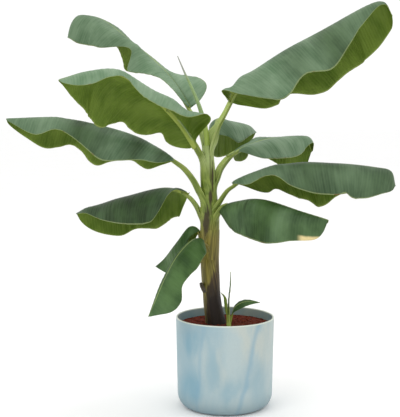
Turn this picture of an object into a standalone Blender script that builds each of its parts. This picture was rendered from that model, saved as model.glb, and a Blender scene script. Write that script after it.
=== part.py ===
"""
A young banana plant in a round pot.

The origin is at the centre of the pot's flat foot. X runs to the right, Y away from
the viewer and Z up. The pot is a turned shell, filled with soil to just under its rim.
Out of the soil stands one stem of rolled leaf sheaths, with eleven leaves round it: each
leaf is a channelled stalk and a blade that hangs like a tent from its midrib. A rolled
new leaf rises from the crown, and a small sucker grows beside the stem.
"""

import math
from collections import namedtuple

import bmesh
import bpy
import numpy as np
from mathutils import Vector

# Driving sizes, in metres

GAP = 0.0003

POT_HEIGHT = 0.203
POT_RIM_RADIUS = 0.110
POT_SIDE_RADIUS = 0.1065
POT_FOOT_RADIUS = 0.082
POT_CORNER_HEIGHT = 0.032
POT_WALL = 0.004
POT_FLOOR = 0.006
POT_STEPS = 40

SOIL_LEVEL = 0.187
SOIL_DIP = 0.003

CROWN_HEIGHT = 0.585
STALK_SIDES = 10
BLADE_ROWS = 20
THINNEST_SHARE = 0.0105
CALM = 64

# The stem: sideways place, height and radius, from the ground to the crown

STEM = (
    (-0.0200, 0.175, 0.0250),
    (-0.0225, 0.195, 0.0228),
    (-0.0300, 0.239, 0.0200),
    (-0.0340, 0.307, 0.0195),
    (-0.0350, 0.375, 0.0195),
    (-0.0355, 0.431, 0.0188),
    (-0.0360, 0.486, 0.0160),
    (-0.0375, 0.542, 0.0130),
    (-0.0385, CROWN_HEIGHT, 0.0100),
)

# The leaves. A path runs from inside the stem, up the stalk and along the midrib to the tip.
# neck is the share of it that is bare stalk. A half has rows at shares of the blade's length:
# how far its margin lies out from the midrib and how far below it, and how far the sheet
# bows up between the two. shape narrows all three towards the neck and the tip.

Half = namedtuple("Half", "rows")
Leaf = namedtuple("Leaf", "name path neck shape radii right left")

LEAVES = (
    Leaf(
        "top_right",
        ((-0.036, 0.000, 0.530), (-0.023, -0.008, 0.553), (-0.006, -0.018, 0.633),
         (0.010, -0.024, 0.680), (0.020, -0.026, 0.707), (0.037, -0.028, 0.730),
         (0.063, -0.032, 0.749), (0.129, -0.037, 0.791), (0.221, -0.047, 0.841),
         (0.296, -0.056, 0.881), (0.333, -0.062, 0.888), (0.350, -0.066, 0.865)),
        0.27, (0.85, 0.42), (0.0080, 0.0050),
        Half(((0, 0.045, 0.020, 0.010), (0.03, 0.050, -0.040, 0.010), (0.07, 0.050, 0.040, 0.015),
              (0.12, 0.052, 0.085, 0.020), (0.18, 0.055, 0.100, 0.025),
              (0.3, 0.060, 0.095, 0.025), (0.42, 0.055, 0.072, 0.020),
              (0.55, 0.055, 0.090, 0.020), (0.68, 0.050, 0.068, 0.020),
              (0.82, 0.045, 0.043, 0.015), (0.93, 0.035, 0.010, 0.008), (1, 0.020, 0.004, 0.004))),
        Half(((0, 0.040, 0.070, 0.010), (0.05, 0.055, 0.115, 0.015), (0.1, 0.058, 0.122, 0.020),
              (0.16, 0.060, 0.112, 0.025), (0.22, 0.060, 0.092, 0.030),
              (0.28, 0.060, 0.085, 0.030), (0.34, 0.060, 0.092, 0.030),
              (0.41, 0.062, 0.110, 0.030), (0.48, 0.065, 0.117, 0.030),
              (0.55, 0.065, 0.112, 0.030), (0.62, 0.065, 0.108, 0.030),
              (0.7, 0.062, 0.112, 0.030), (0.8, 0.058, 0.125, 0.025), (0.9, 0.052, 0.127, 0.020),
              (1, 0.035, 0.085, 0.010))),
    ),
    Leaf(
        "top_left",
        ((-0.038, 0.002, 0.545), (-0.056, 0.020, 0.623), (-0.083, 0.050, 0.674),
         (-0.122, 0.085, 0.735), (-0.171, 0.115, 0.787), (-0.226, 0.140, 0.832),
         (-0.281, 0.165, 0.874), (-0.320, 0.179, 0.887), (-0.347, 0.186, 0.885),
         (-0.363, 0.190, 0.857)),
        0.25, (0.85, 0.36), (0.0070, 0.0048),
        Half(((0, 0.035, -0.045, 0.004), (0.06, 0.050, -0.060, 0.004),
              (0.13, 0.050, -0.050, 0.006), (0.2, 0.050, -0.026, 0.008),
              (0.28, 0.050, -0.004, 0.012), (0.38, 0.050, 0.022, 0.018),
              (0.46, 0.050, 0.060, 0.020), (0.53, 0.050, 0.080, 0.020),
              (0.59, 0.050, 0.062, 0.020), (0.66, 0.050, 0.050, 0.020),
              (0.78, 0.050, 0.067, 0.020), (0.9, 0.042, 0.075, 0.020), (1, 0.030, 0.050, 0.010))),
        Half(((0, 0.030, 0.000, 0.008), (0.12, 0.040, 0.000, 0.010), (0.22, 0.043, 0.009, 0.012),
              (0.31, 0.042, 0.024, 0.012), (0.37, 0.040, 0.042, 0.014),
              (0.42, 0.034, 0.050, 0.014), (0.47, 0.026, 0.014, 0.010),
              (0.52, 0.022, 0.014, 0.008), (0.57, 0.034, 0.034, 0.010),
              (0.63, 0.046, 0.054, 0.014), (0.7, 0.050, 0.066, 0.018),
              (0.78, 0.050, 0.080, 0.020), (0.88, 0.050, 0.095, 0.020), (1, 0.035, 0.075, 0.010))),
    ),
    Leaf(
        "upper_left",
        ((-0.037, 0.000, 0.515), (-0.067, -0.035, 0.587), (-0.107, -0.075, 0.646),
         (-0.160, -0.120, 0.700), (-0.218, -0.165, 0.738), (-0.275, -0.205, 0.742),
         (-0.330, -0.240, 0.724)),
        0.17, (0.85, 0.40), (0.0080, 0.0058),
        Half(((0, 0.030, 0.050, 0.010), (0.05, 0.045, 0.054, 0.015), (0.11, 0.050, 0.042, 0.020),
              (0.16, 0.055, 0.032, 0.022), (0.21, 0.060, 0.057, 0.025),
              (0.27, 0.062, 0.069, 0.028), (0.33, 0.065, 0.069, 0.030),
              (0.39, 0.068, 0.065, 0.030), (0.45, 0.070, 0.082, 0.030),
              (0.51, 0.070, 0.101, 0.030), (0.57, 0.072, 0.108, 0.030),
              (0.66, 0.075, 0.107, 0.030), (0.76, 0.070, 0.105, 0.030),
              (0.88, 0.060, 0.078, 0.020), (1, 0.030, 0.012, 0.010))),
        Half(((0, 0.040, -0.050, 0.025), (0.1, 0.050, -0.069, 0.035),
              (0.22, 0.050, -0.010, 0.038), (0.34, 0.050, 0.013, 0.034),
              (0.46, 0.050, 0.027, 0.022), (0.58, 0.045, 0.028, 0.012),
              (0.7, 0.045, 0.012, 0.010), (0.84, 0.045, 0.011, 0.010), (1, 0.030, 0.010, 0.005))),
    ),
    Leaf(
        "back_right",
        ((-0.036, 0.002, 0.525), (-0.027, 0.022, 0.600), (-0.018, 0.052, 0.646),
         (0.009, 0.110, 0.643), (0.046, 0.170, 0.627), (0.079, 0.222, 0.603)),
        0.28, (0.80, 0.42), (0.0060, 0.0045),
        Half(((0, 0.020, 0.040, 0.004), (0.15, 0.030, 0.066, 0.008), (0.35, 0.035, 0.057, 0.010),
              (0.55, 0.035, 0.041, 0.010), (0.75, 0.030, 0.028, 0.010), (1, 0.010, 0.012, 0.004))),
        Half(((0, 0.030, 0.040, 0.010), (0.15, 0.045, 0.070, 0.020), (0.35, 0.050, 0.066, 0.020),
              (0.55, 0.050, 0.082, 0.020), (0.75, 0.045, 0.082, 0.020),
              (0.9, 0.040, 0.085, 0.015), (1, 0.025, 0.060, 0.010))),
    ),
    Leaf(
        "upper_right",
        ((-0.036, 0.000, 0.490), (-0.009, 0.012, 0.552), (0.029, 0.040, 0.578),
         (0.086, 0.085, 0.599), (0.150, 0.140, 0.604), (0.207, 0.185, 0.596)),
        0.23, (0.85, 0.36), (0.0085, 0.0055),
        Half(((0, 0.030, 0.015, 0.010), (0.15, 0.050, 0.027, 0.015), (0.3, 0.050, 0.036, 0.015),
              (0.45, 0.050, 0.042, 0.015), (0.6, 0.050, 0.044, 0.015),
              (0.75, 0.045, 0.037, 0.015), (0.88, 0.040, 0.012, 0.010), (1, 0.020, 0.006, 0.004))),
        Half(((0, 0.030, 0.030, 0.010), (0.12, 0.045, 0.048, 0.015), (0.2, 0.045, 0.053, 0.016),
              (0.28, 0.044, 0.040, 0.018), (0.38, 0.042, 0.030, 0.018),
              (0.5, 0.040, 0.045, 0.018), (0.62, 0.034, 0.066, 0.018),
              (0.75, 0.026, 0.092, 0.016), (0.88, 0.016, 0.122, 0.014), (1, 0.006, 0.155, 0.010))),
    ),
    Leaf(
        "middle_right",
        ((-0.036, 0.000, 0.440), (-0.003, -0.020, 0.488), (0.029, -0.035, 0.513),
         (0.082, -0.055, 0.539), (0.157, -0.078, 0.553), (0.239, -0.100, 0.552),
         (0.311, -0.115, 0.546), (0.344, -0.122, 0.538), (0.353, -0.126, 0.509)),
        0.19, (0.90, 0.35), (0.0085, 0.0058),
        Half(((0, 0.030, 0.010, 0.008), (0.1, 0.040, 0.024, 0.012), (0.17, 0.045, 0.017, 0.010),
              (0.23, 0.048, 0.011, 0.010), (0.29, 0.050, 0.016, 0.012),
              (0.36, 0.053, 0.039, 0.015), (0.44, 0.055, 0.052, 0.020),
              (0.52, 0.055, 0.059, 0.020), (0.6, 0.055, 0.061, 0.020),
              (0.67, 0.055, 0.064, 0.020), (0.73, 0.055, 0.071, 0.020),
              (0.8, 0.055, 0.081, 0.020), (0.9, 0.052, 0.081, 0.020), (1, 0.035, 0.045, 0.012))),
        Half(((0, 0.030, 0.026, 0.010), (0.08, 0.043, 0.062, 0.018), (0.14, 0.048, 0.068, 0.020),
              (0.2, 0.050, 0.059, 0.020), (0.26, 0.054, 0.072, 0.020),
              (0.33, 0.058, 0.086, 0.020), (0.4, 0.060, 0.093, 0.020),
              (0.47, 0.060, 0.104, 0.020), (0.54, 0.060, 0.098, 0.020),
              (0.61, 0.058, 0.083, 0.020), (0.72, 0.055, 0.077, 0.020),
              (0.86, 0.050, 0.083, 0.020), (1, 0.030, 0.030, 0.010))),
    ),
    Leaf(
        "middle_left",
        ((-0.036, 0.000, 0.445), (-0.074, -0.014, 0.521), (-0.118, -0.018, 0.560),
         (-0.189, -0.022, 0.604), (-0.276, -0.028, 0.632), (-0.374, -0.036, 0.647),
         (-0.472, -0.045, 0.644)),
        0.23, (0.90, 0.42), (0.0095, 0.0058),
        Half(((0, 0.030, 0.035, 0.010), (0.06, 0.045, 0.048, 0.015), (0.12, 0.050, 0.070, 0.020),
              (0.18, 0.055, 0.069, 0.020), (0.24, 0.052, 0.061, 0.020),
              (0.31, 0.050, 0.067, 0.020), (0.38, 0.052, 0.077, 0.022),
              (0.45, 0.055, 0.091, 0.025), (0.51, 0.058, 0.086, 0.025),
              (0.57, 0.060, 0.069, 0.022), (0.64, 0.060, 0.061, 0.020),
              (0.71, 0.060, 0.074, 0.025), (0.8, 0.058, 0.089, 0.025), (0.9, 0.050, 0.074, 0.020),
              (1, 0.030, 0.050, 0.010))),
        Half(((0, 0.030, 0.010, 0.010), (0.1, 0.045, 0.035, 0.015), (0.2, 0.045, 0.047, 0.015),
              (0.32, 0.050, 0.063, 0.020), (0.44, 0.055, 0.070, 0.020),
              (0.54, 0.050, 0.054, 0.015), (0.63, 0.045, 0.037, 0.010),
              (0.72, 0.045, 0.027, 0.012), (0.84, 0.045, 0.051, 0.015), (1, 0.030, 0.020, 0.010))),
    ),
    Leaf(
        "lower_left",
        ((-0.035, 0.000, 0.408), (-0.061, 0.012, 0.456), (-0.088, 0.030, 0.480),
         (-0.141, 0.065, 0.486), (-0.219, 0.105, 0.464), (-0.292, 0.135, 0.442),
         (-0.345, 0.152, 0.417)),
        0.24, (0.85, 0.42), (0.0080, 0.0055),
        Half(((0, 0.030, 0.060, 0.010), (0.06, 0.040, 0.095, 0.012), (0.14, 0.048, 0.083, 0.018),
              (0.22, 0.050, 0.078, 0.020), (0.29, 0.052, 0.078, 0.022),
              (0.36, 0.055, 0.081, 0.025), (0.44, 0.055, 0.085, 0.025),
              (0.52, 0.055, 0.080, 0.025), (0.62, 0.055, 0.078, 0.025),
              (0.74, 0.050, 0.097, 0.020), (0.84, 0.048, 0.101, 0.020),
              (0.93, 0.045, 0.102, 0.015), (1, 0.035, 0.100, 0.010))),
        Half(((0, 0.025, 0.000, 0.004), (0.09, 0.032, 0.008, 0.006), (0.16, 0.040, 0.058, 0.010),
              (0.23, 0.047, 0.082, 0.014), (0.31, 0.050, 0.082, 0.018),
              (0.4, 0.053, 0.076, 0.020), (0.5, 0.055, 0.069, 0.020), (0.62, 0.050, 0.061, 0.020),
              (0.78, 0.045, 0.045, 0.010), (0.9, 0.040, 0.019, 0.010), (1, 0.020, 0.012, 0.004))),
    ),
    Leaf(
        "lower_right",
        ((-0.035, 0.000, 0.402), (-0.012, -0.022, 0.449), (0.027, -0.045, 0.468),
         (0.076, -0.080, 0.474), (0.153, -0.125, 0.453), (0.206, -0.155, 0.435)),
        0.16, (0.85, 0.36), (0.0085, 0.0060),
        Half(((0, 0.030, 0.043, 0.010), (0.08, 0.042, 0.078, 0.016), (0.16, 0.048, 0.076, 0.020),
              (0.25, 0.050, 0.074, 0.020), (0.35, 0.053, 0.075, 0.025),
              (0.45, 0.055, 0.077, 0.025), (0.52, 0.055, 0.078, 0.025),
              (0.6, 0.055, 0.080, 0.022), (0.7, 0.053, 0.076, 0.020), (0.8, 0.050, 0.068, 0.020),
              (0.92, 0.045, 0.076, 0.015), (1, 0.030, 0.100, 0.010))),
        Half(((0, 0.030, 0.020, 0.010), (0.25, 0.060, 0.050, 0.020), (0.5, 0.060, 0.050, 0.020),
              (0.75, 0.055, 0.050, 0.020), (1, 0.030, 0.030, 0.010))),
    ),
    Leaf(
        "hanging_front",
        ((-0.036, -0.004, 0.338), (-0.050, -0.038, 0.380), (-0.071, -0.062, 0.385),
         (-0.103, -0.090, 0.356), (-0.128, -0.110, 0.312), (-0.151, -0.125, 0.263),
         (-0.164, -0.130, 0.232)),
        0.20, (0.85, 0.42), (0.0060, 0.0040),
        Half(((0, 0.010, 0.020, 0.003), (0.2, 0.025, 0.050, 0.008), (0.5, 0.025, 0.050, 0.008),
              (0.8, 0.020, 0.040, 0.008), (1, 0.010, 0.020, 0.003))),
        Half(((0, 0.025, 0.010, 0.004), (0.12, 0.050, 0.020, 0.010), (0.26, 0.055, 0.011, 0.010),
              (0.4, 0.055, 0.011, 0.010), (0.5, 0.050, 0.008, 0.010), (0.62, 0.045, 0.012, 0.010),
              (0.76, 0.045, 0.040, 0.010), (0.9, 0.040, 0.040, 0.010), (1, 0.020, 0.010, 0.004))),
    ),
    Leaf(
        "hanging_back",
        ((-0.036, 0.002, 0.345), (-0.056, 0.013, 0.396), (-0.079, 0.025, 0.403),
         (-0.106, 0.042, 0.369), (-0.136, 0.058, 0.328), (-0.157, 0.065, 0.308)),
        0.28, (0.85, 0.60), (0.0050, 0.0036),
        Half(((0, 0.010, 0.020, 0.003), (0.5, 0.020, 0.035, 0.008), (1, 0.010, 0.020, 0.003))),
        Half(((0, 0.020, 0.030, 0.004), (0.2, 0.035, 0.059, 0.006), (0.45, 0.036, 0.046, 0.006),
              (0.7, 0.034, 0.050, 0.006), (0.88, 0.030, 0.078, 0.006), (1, 0.020, 0.050, 0.004))),
    ),
)

# The rolled new leaf, the dry stub and the sucker: points, then a radius at each end

SPEAR_PATH = (
    (-0.0385, 0.000, 0.578), (-0.0460, -0.003, 0.630), (-0.0560, -0.008, 0.667),
    (-0.0740, -0.010, 0.711), (-0.0890, -0.012, 0.743), (-0.1050, -0.014, 0.780),
)
SPEAR_RADII = (0.0060, 0.0012)

STUB_PATH = ((-0.032, -0.006, 0.240), (-0.047, -0.012, 0.252), (-0.054, -0.015, 0.276))
STUB_RADII = (0.0055, 0.0025)

SUCKER_PATH = ((0.0080, -0.030, 0.175), (0.0078, -0.030, 0.192), (0.0070, -0.030, 0.210))
SUCKER_RADII = (0.0055, 0.0035)


def narrow(widths):
    """A half that slopes gently, with its width given at shares of the length."""
    return Half([(share, 0.94 * wide, 0.34 * wide, 0.04 * wide) for share, wide in widths])


SUCKER_LEAVES = (
    Leaf(
        "sucker_leaf_upright",
        ((0.0070, -0.030, 0.2106), (0.0066, -0.030, 0.240), (0.0080, -0.030, 0.275),
         (0.0100, -0.030, 0.308)),
        0.0, (0.70, 0.60), (0.0028, 0.0028),
        narrow(((0, 0.0060), (1, 0.0060))),
        narrow(((0, 0.0060), (1, 0.0060))),
    ),
    Leaf(
        "sucker_leaf_right",
        ((0.0100, -0.030, 0.190), (0.0180, -0.034, 0.214), (0.0310, -0.037, 0.232),
         (0.0480, -0.040, 0.243), (0.0760, -0.044, 0.239)),
        0.0, (1.10, 0.60), (0.0024, 0.0024),
        narrow(((0, 0.003), (0.3, 0.005), (0.6, 0.014), (1, 0.010))),
        narrow(((0, 0.003), (0.3, 0.005), (0.6, 0.014), (1, 0.010))),
    ),
    Leaf(
        "sucker_leaf_short",
        ((0.0070, -0.0330, 0.196), (0.0045, -0.0405, 0.225), (-0.0010, -0.0415, 0.250),
         (-0.0105, -0.0425, 0.265)),
        0.0, (1.0, 0.60), (0.0020, 0.0020),
        narrow(((0, 0.003), (0.5, 0.007), (1, 0.005))),
        narrow(((0, 0.003), (0.5, 0.007), (1, 0.005))),
    ),
)

# Colours: red, green, blue, roughness

POT_BLUE = (0.50, 0.60, 0.64, 0.45)
SOIL_BROWN = (0.16, 0.06, 0.035, 0.95)
STEM_OLIVE = (0.20, 0.17, 0.06, 0.60)
STALK_GREEN = (0.26, 0.33, 0.08, 0.45)
BLADE_GREEN = (0.09, 0.17, 0.06, 0.40)
SPEAR_GREEN = (0.35, 0.45, 0.20, 0.45)
STUB_BROWN = (0.12, 0.07, 0.04, 0.90)


def clear_scene():
    """Remove everything that the new file came with."""
    for obj in list(bpy.data.objects):
        bpy.data.objects.remove(obj, do_unlink=True)


def new_collection(name, hidden=False):
    """A collection under the scene's own. A hidden one holds the cutters."""
    collection = bpy.data.collections.new(name)
    collection.hide_render = hidden
    bpy.context.scene.collection.children.link(collection)
    return collection


def plain_material(name, look):
    """A Principled material of one colour."""
    material = bpy.data.materials.new(name)
    material.use_nodes = True
    shader = material.node_tree.nodes["Principled BSDF"]
    shader.inputs["Base Color"].default_value = (look[0], look[1], look[2], 1.0)
    shader.inputs["Roughness"].default_value = look[3]
    shader.inputs["Metallic"].default_value = 0.0
    material.diffuse_color = (look[0], look[1], look[2], 1.0)
    return material


def place_mesh(name, mesh, collection, look):
    """Give the mesh an object of its own with its own material."""
    obj = bpy.data.objects.new(name, mesh)
    collection.objects.link(obj)
    mesh.materials.clear()
    mesh.materials.append(plain_material(name, look))
    return obj


def turned(name, profile, collection, look, steps=POT_STEPS):
    """A closed profile of (radius, height) points turned round the Z axis."""
    mesh = bpy.data.meshes.new(name)
    points = [(radius, 0.0, height) for radius, height in profile]
    edges = [(i, i + 1) for i in range(len(points) - 1)]
    mesh.from_pydata(points, edges, [])
    obj = place_mesh(name, mesh, collection, look)
    screw = obj.modifiers.new("Turn", "SCREW")
    screw.axis = "Z"
    screw.steps = steps
    screw.render_steps = steps
    screw.use_merge_vertices = True
    screw.merge_threshold = 0.00001
    screw.use_smooth_shade = True
    return obj


def smooth_curve(points, count):
    """Even steps along a smooth curve through the points, and the curve's length."""
    knots = [np.array(point, float) for point in points]
    knots = [2 * knots[0] - knots[1]] + knots + [2 * knots[-1] - knots[-2]]
    fine = []
    for a, b, c, d in zip(knots, knots[1:], knots[2:], knots[3:]):
        for t in np.arange(0.0, 1.0, 0.02):
            fine.append(
                0.5 * (2 * b + (c - a) * t + (2 * a - 5 * b + 4 * c - d) * t ** 2
                       + (3 * b - a - 3 * c + d) * t ** 3)
            )
    fine.append(knots[-2])
    fine = np.array(fine)
    steps = np.linalg.norm(np.diff(fine, axis=0), axis=1)
    along = np.concatenate([[0.0], np.cumsum(steps)])
    even = np.linspace(0.0, along[-1], count)
    places = np.stack([np.interp(even, along, fine[:, axis]) for axis in range(3)], axis=1)
    return places, along[-1]


def directions(places):
    """The direction of the curve at each place."""
    forward = np.gradient(places, axis=0)
    return forward / np.linalg.norm(forward, axis=1)[:, None]


def calmed(forward):
    """Directions averaged over their neighbours, and even over the last steps. The veins
    of a blade follow these, so that they stay side by side where the midrib bends."""
    last = len(forward) - 1
    calm = forward.copy()
    for i in range(last + 1):
        reach = min(CALM, i)
        middle = min(i, last - reach)
        calm[i] = forward[middle - reach:middle + reach + 1].mean(axis=0)
    return calm / np.linalg.norm(calm, axis=1)[:, None]


def carried_frames(forward, top):
    """Forward, up and right at each place: up is carried along the curve without twisting."""
    up = np.zeros_like(forward)
    current = np.array(top, float)
    for i, direction in enumerate(forward):
        current = current - (current @ direction) * direction
        current /= np.linalg.norm(current)
        up[i] = current
    return forward, up, np.cross(forward, up)


def facing(path):
    """Where the upper face looks at the leaf's foot: back over the stem, and up."""
    away = np.array(path[-1][:2]) - np.array(path[0][:2])
    away = away / np.linalg.norm(away)
    return (-away[0], -away[1], 0.5)


def keyed(rows, share):
    """The values of the rows at a share of the length, on a smooth curve through them."""
    table = np.array(rows, float)
    place, value = table[:, 0], table[:, 1:]
    slope = np.gradient(value, place, axis=0)
    low = min(max(int(np.searchsorted(place, share)) - 1, 0), len(table) - 2)
    gap = place[low + 1] - place[low]
    t = (share - place[low]) / gap
    ends = value[low] * (1 + 2 * t) * (1 - t) ** 2 + value[low + 1] * t * t * (3 - 2 * t)
    return ends + gap * t * (1 - t) * (slope[low] * (1 - t) - slope[low + 1] * t)


def half_profile(half, share, shape, steps, rib_depth, thickness):
    """Top and underside points of one half, as (out, down), from midrib to margin."""
    skew, blunt = shape
    fade = max(math.sin(math.pi * share ** skew), 0.0) ** blunt
    out, down, bow = keyed(half.rows, share) * fade
    out += max(0.6 * rib_depth - math.hypot(out, down), 0.0)
    reach = math.hypot(out, down)
    bow = min(bow, (0.35 if down > 0 else 0.12) * reach)

    def point(step):
        arch = bow / reach * math.sin(math.pi * step ** 0.8)
        return out * step + down * arch, down * step - out * arch

    top, under = [], []
    for step in steps:
        here = point(step)
        before, after = point(max(step - 0.05, 0.0)), point(min(step + 0.05, 1.0))
        run = math.hypot(after[0] - before[0], after[1] - before[1])
        lean = (after[1] - before[1]) / run if step else 0.0
        level = (after[0] - before[0]) / run if step else 1.0
        deep = thickness if step else rib_depth
        inner = max(here[0] - deep * lean, 0.4 * here[0])
        top.append(here)
        under.append((inner, here[1] + deep * max(level, 0.35)))
    return top, under


def loft(name, rings, collection, look):
    """A closed skin over rings of equal count, with a flat face at each end."""
    mesh = bpy.data.meshes.new(name)
    shape = bmesh.new()
    loops = [[shape.verts.new(Vector(point)) for point in ring] for ring in rings]
    count = len(loops[0])
    for near, far in zip(loops, loops[1:]):
        for i in range(count):
            j = (i + 1) % count
            shape.faces.new((near[i], near[j], far[j], far[i]))
    shape.faces.new(loops[0][::-1])
    shape.faces.new(loops[-1])
    bmesh.ops.recalc_face_normals(shape, faces=shape.faces)
    bmesh.ops.triangulate(shape, faces=shape.faces, quad_method="SHORT_EDGE")
    shape.to_mesh(mesh)
    shape.free()
    mesh.shade_smooth()
    mesh.set_sharp_from_angle(angle=math.radians(50))
    return place_mesh(name, mesh, collection, look)


def leaf_path(leaf):
    """The whole path in fine steps with its frames, and the blade's first step."""
    places, length = smooth_curve(leaf.path, 401)
    neck = round(leaf.neck * 400)
    forward, up, right = carried_frames(calmed(directions(places)), facing(leaf.path))
    return places, forward, up, right, length, neck


def stalk_rings(leaf):
    """Rings of a stalk that is round beneath and hollowed along its top."""
    places, forward, up, right, _, neck = leaf_path(leaf)
    foot_radius, neck_radius = leaf.radii
    rings = []
    for i in np.linspace(0, neck, 9).astype(int):
        share = i / neck
        radius = foot_radius + (neck_radius - foot_radius) * share
        ring = []
        for side in range(STALK_SIDES):
            turn = 2 * math.pi * (side + 0.5) / STALK_SIDES
            rise = math.sin(turn)
            if rise > 0:
                rise *= 0.75
            ring.append(places[i] + radius * (math.cos(turn) * right[i] + rise * up[i]))
        rings.append(ring)
    return rings


def blade_rings(leaf, rows=BLADE_ROWS, steps=(0.0, 0.125, 0.4, 0.7, 1.0)):
    """Rings round the blade: over the top from margin to margin, and back beneath."""
    places, forward, up, right, length, neck = leaf_path(leaf)
    blade_length = length * (1 - leaf.neck)
    thickness = max(THINNEST_SHARE * blade_length, 0.0022)
    rings = []
    for row in range(rows + 1):
        even = row / rows
        share = 0.65 * even + 0.35 * (1 - math.cos(math.pi * even)) / 2
        i = min(neck + share * (400 - neck), 400.0)
        low = min(int(i), 399)
        part = i - low
        place, ahead, above, aside = (
            line[low] * (1 - part) + line[low + 1] * part
            for line in (places, forward, up, right)
        )
        rib_depth = max(2 * leaf.radii[1] * (1 - 0.6 * share), 1.05 * thickness)
        if leaf.neck > 0:
            place = place + ahead * GAP * (1 - share)
        place = place + above * 0.45 * rib_depth
        ring_top, ring_under = [], []
        for side, half in ((-1, leaf.left), (1, leaf.right)):
            top, under = half_profile(half, share, leaf.shape, steps, rib_depth, thickness)
            ring_top.append([place + side * out * aside - down * above for out, down in top])
            ring_under.append([place + side * out * aside - down * above for out, down in under])
        over = ring_top[0][::-1] + ring_top[1][1:]
        back = ring_under[1][::-1] + ring_under[0][1:]
        rings.append(over + back)
    return rings


def tapering_limb(name, points, radii, collection, look, resolution=4, flat_at=None):
    """A limb along a smooth curve, as a welded mesh, cut level at a height if one is given."""
    curve = bpy.data.curves.new(name + "_line", "CURVE")
    curve.dimensions = "3D"
    curve.bevel_depth = 1.0
    curve.bevel_resolution = resolution
    curve.use_fill_caps = True
    spline = curve.splines.new("POLY")
    spline.points.add(len(points) - 1)
    for knot, place, radius in zip(spline.points, points, radii):
        knot.co = (place[0], place[1], place[2], 1.0)
        knot.radius = radius
    line = bpy.data.objects.new(name + "_line", curve)
    collection.objects.link(line)
    bpy.context.view_layer.update()
    graph = bpy.context.evaluated_depsgraph_get()
    mesh = bpy.data.meshes.new_from_object(line.evaluated_get(graph))
    bpy.data.objects.remove(line, do_unlink=True)
    shape = bmesh.new()
    shape.from_mesh(mesh)
    bmesh.ops.remove_doubles(shape, verts=shape.verts, dist=0.00001)
    if flat_at is not None:
        everything = list(shape.verts) + list(shape.edges) + list(shape.faces)
        cut = bmesh.ops.bisect_plane(
            shape, geom=everything, plane_co=(0, 0, flat_at), plane_no=(0, 0, 1), clear_inner=True
        )
        rim = [piece for piece in cut["geom_cut"] if isinstance(piece, bmesh.types.BMEdge)]
        bmesh.ops.edgeloop_fill(shape, edges=rim)
    bmesh.ops.recalc_face_normals(shape, faces=shape.faces)
    shape.to_mesh(mesh)
    shape.free()
    mesh.name = name
    mesh.shade_smooth()
    mesh.set_sharp_from_angle(angle=math.radians(50))
    return place_mesh(name, mesh, collection, look)


def even_limb(path, radii, count):
    """Places along the path with the radius running evenly between its two ends."""
    places, _ = smooth_curve(path, count)
    shares = np.linspace(0.0, 1.0, count)
    return places, [radii[0] + (radii[1] - radii[0]) * share for share in shares]


def stem_line(extra=0.0, count=14):
    """The stem's places and radii, made fatter by extra."""
    knots = [(side, radius, height) for side, height, radius in STEM]
    places, _ = smooth_curve(knots, count)
    line = [(place[0], 0.0, place[2]) for place in places]
    return line, [place[1] + extra for place in places]


def cut_away(obj, cutter):
    """Take the cutter's space out of the object."""
    cut = obj.modifiers.new("Clear of " + cutter.name, "BOOLEAN")
    cut.operation = "DIFFERENCE"
    cut.solver = "EXACT"
    cut.object = cutter
    return cut


def make_cutter(obj):
    """Keep the object as a guide only."""
    obj.hide_render = True
    obj.display_type = "WIRE"
    return obj


def corner_points(radius_in, radius_out, height, count=7):
    """The rounded corner between the pot's foot and its side, from the side to the foot."""
    points = []
    for i in range(count):
        turn = math.pi / 2 * i / (count - 1)
        points.append((
            radius_in + (radius_out - radius_in) * math.cos(turn),
            height * (1 - math.sin(turn)),
        ))
    return points


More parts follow.
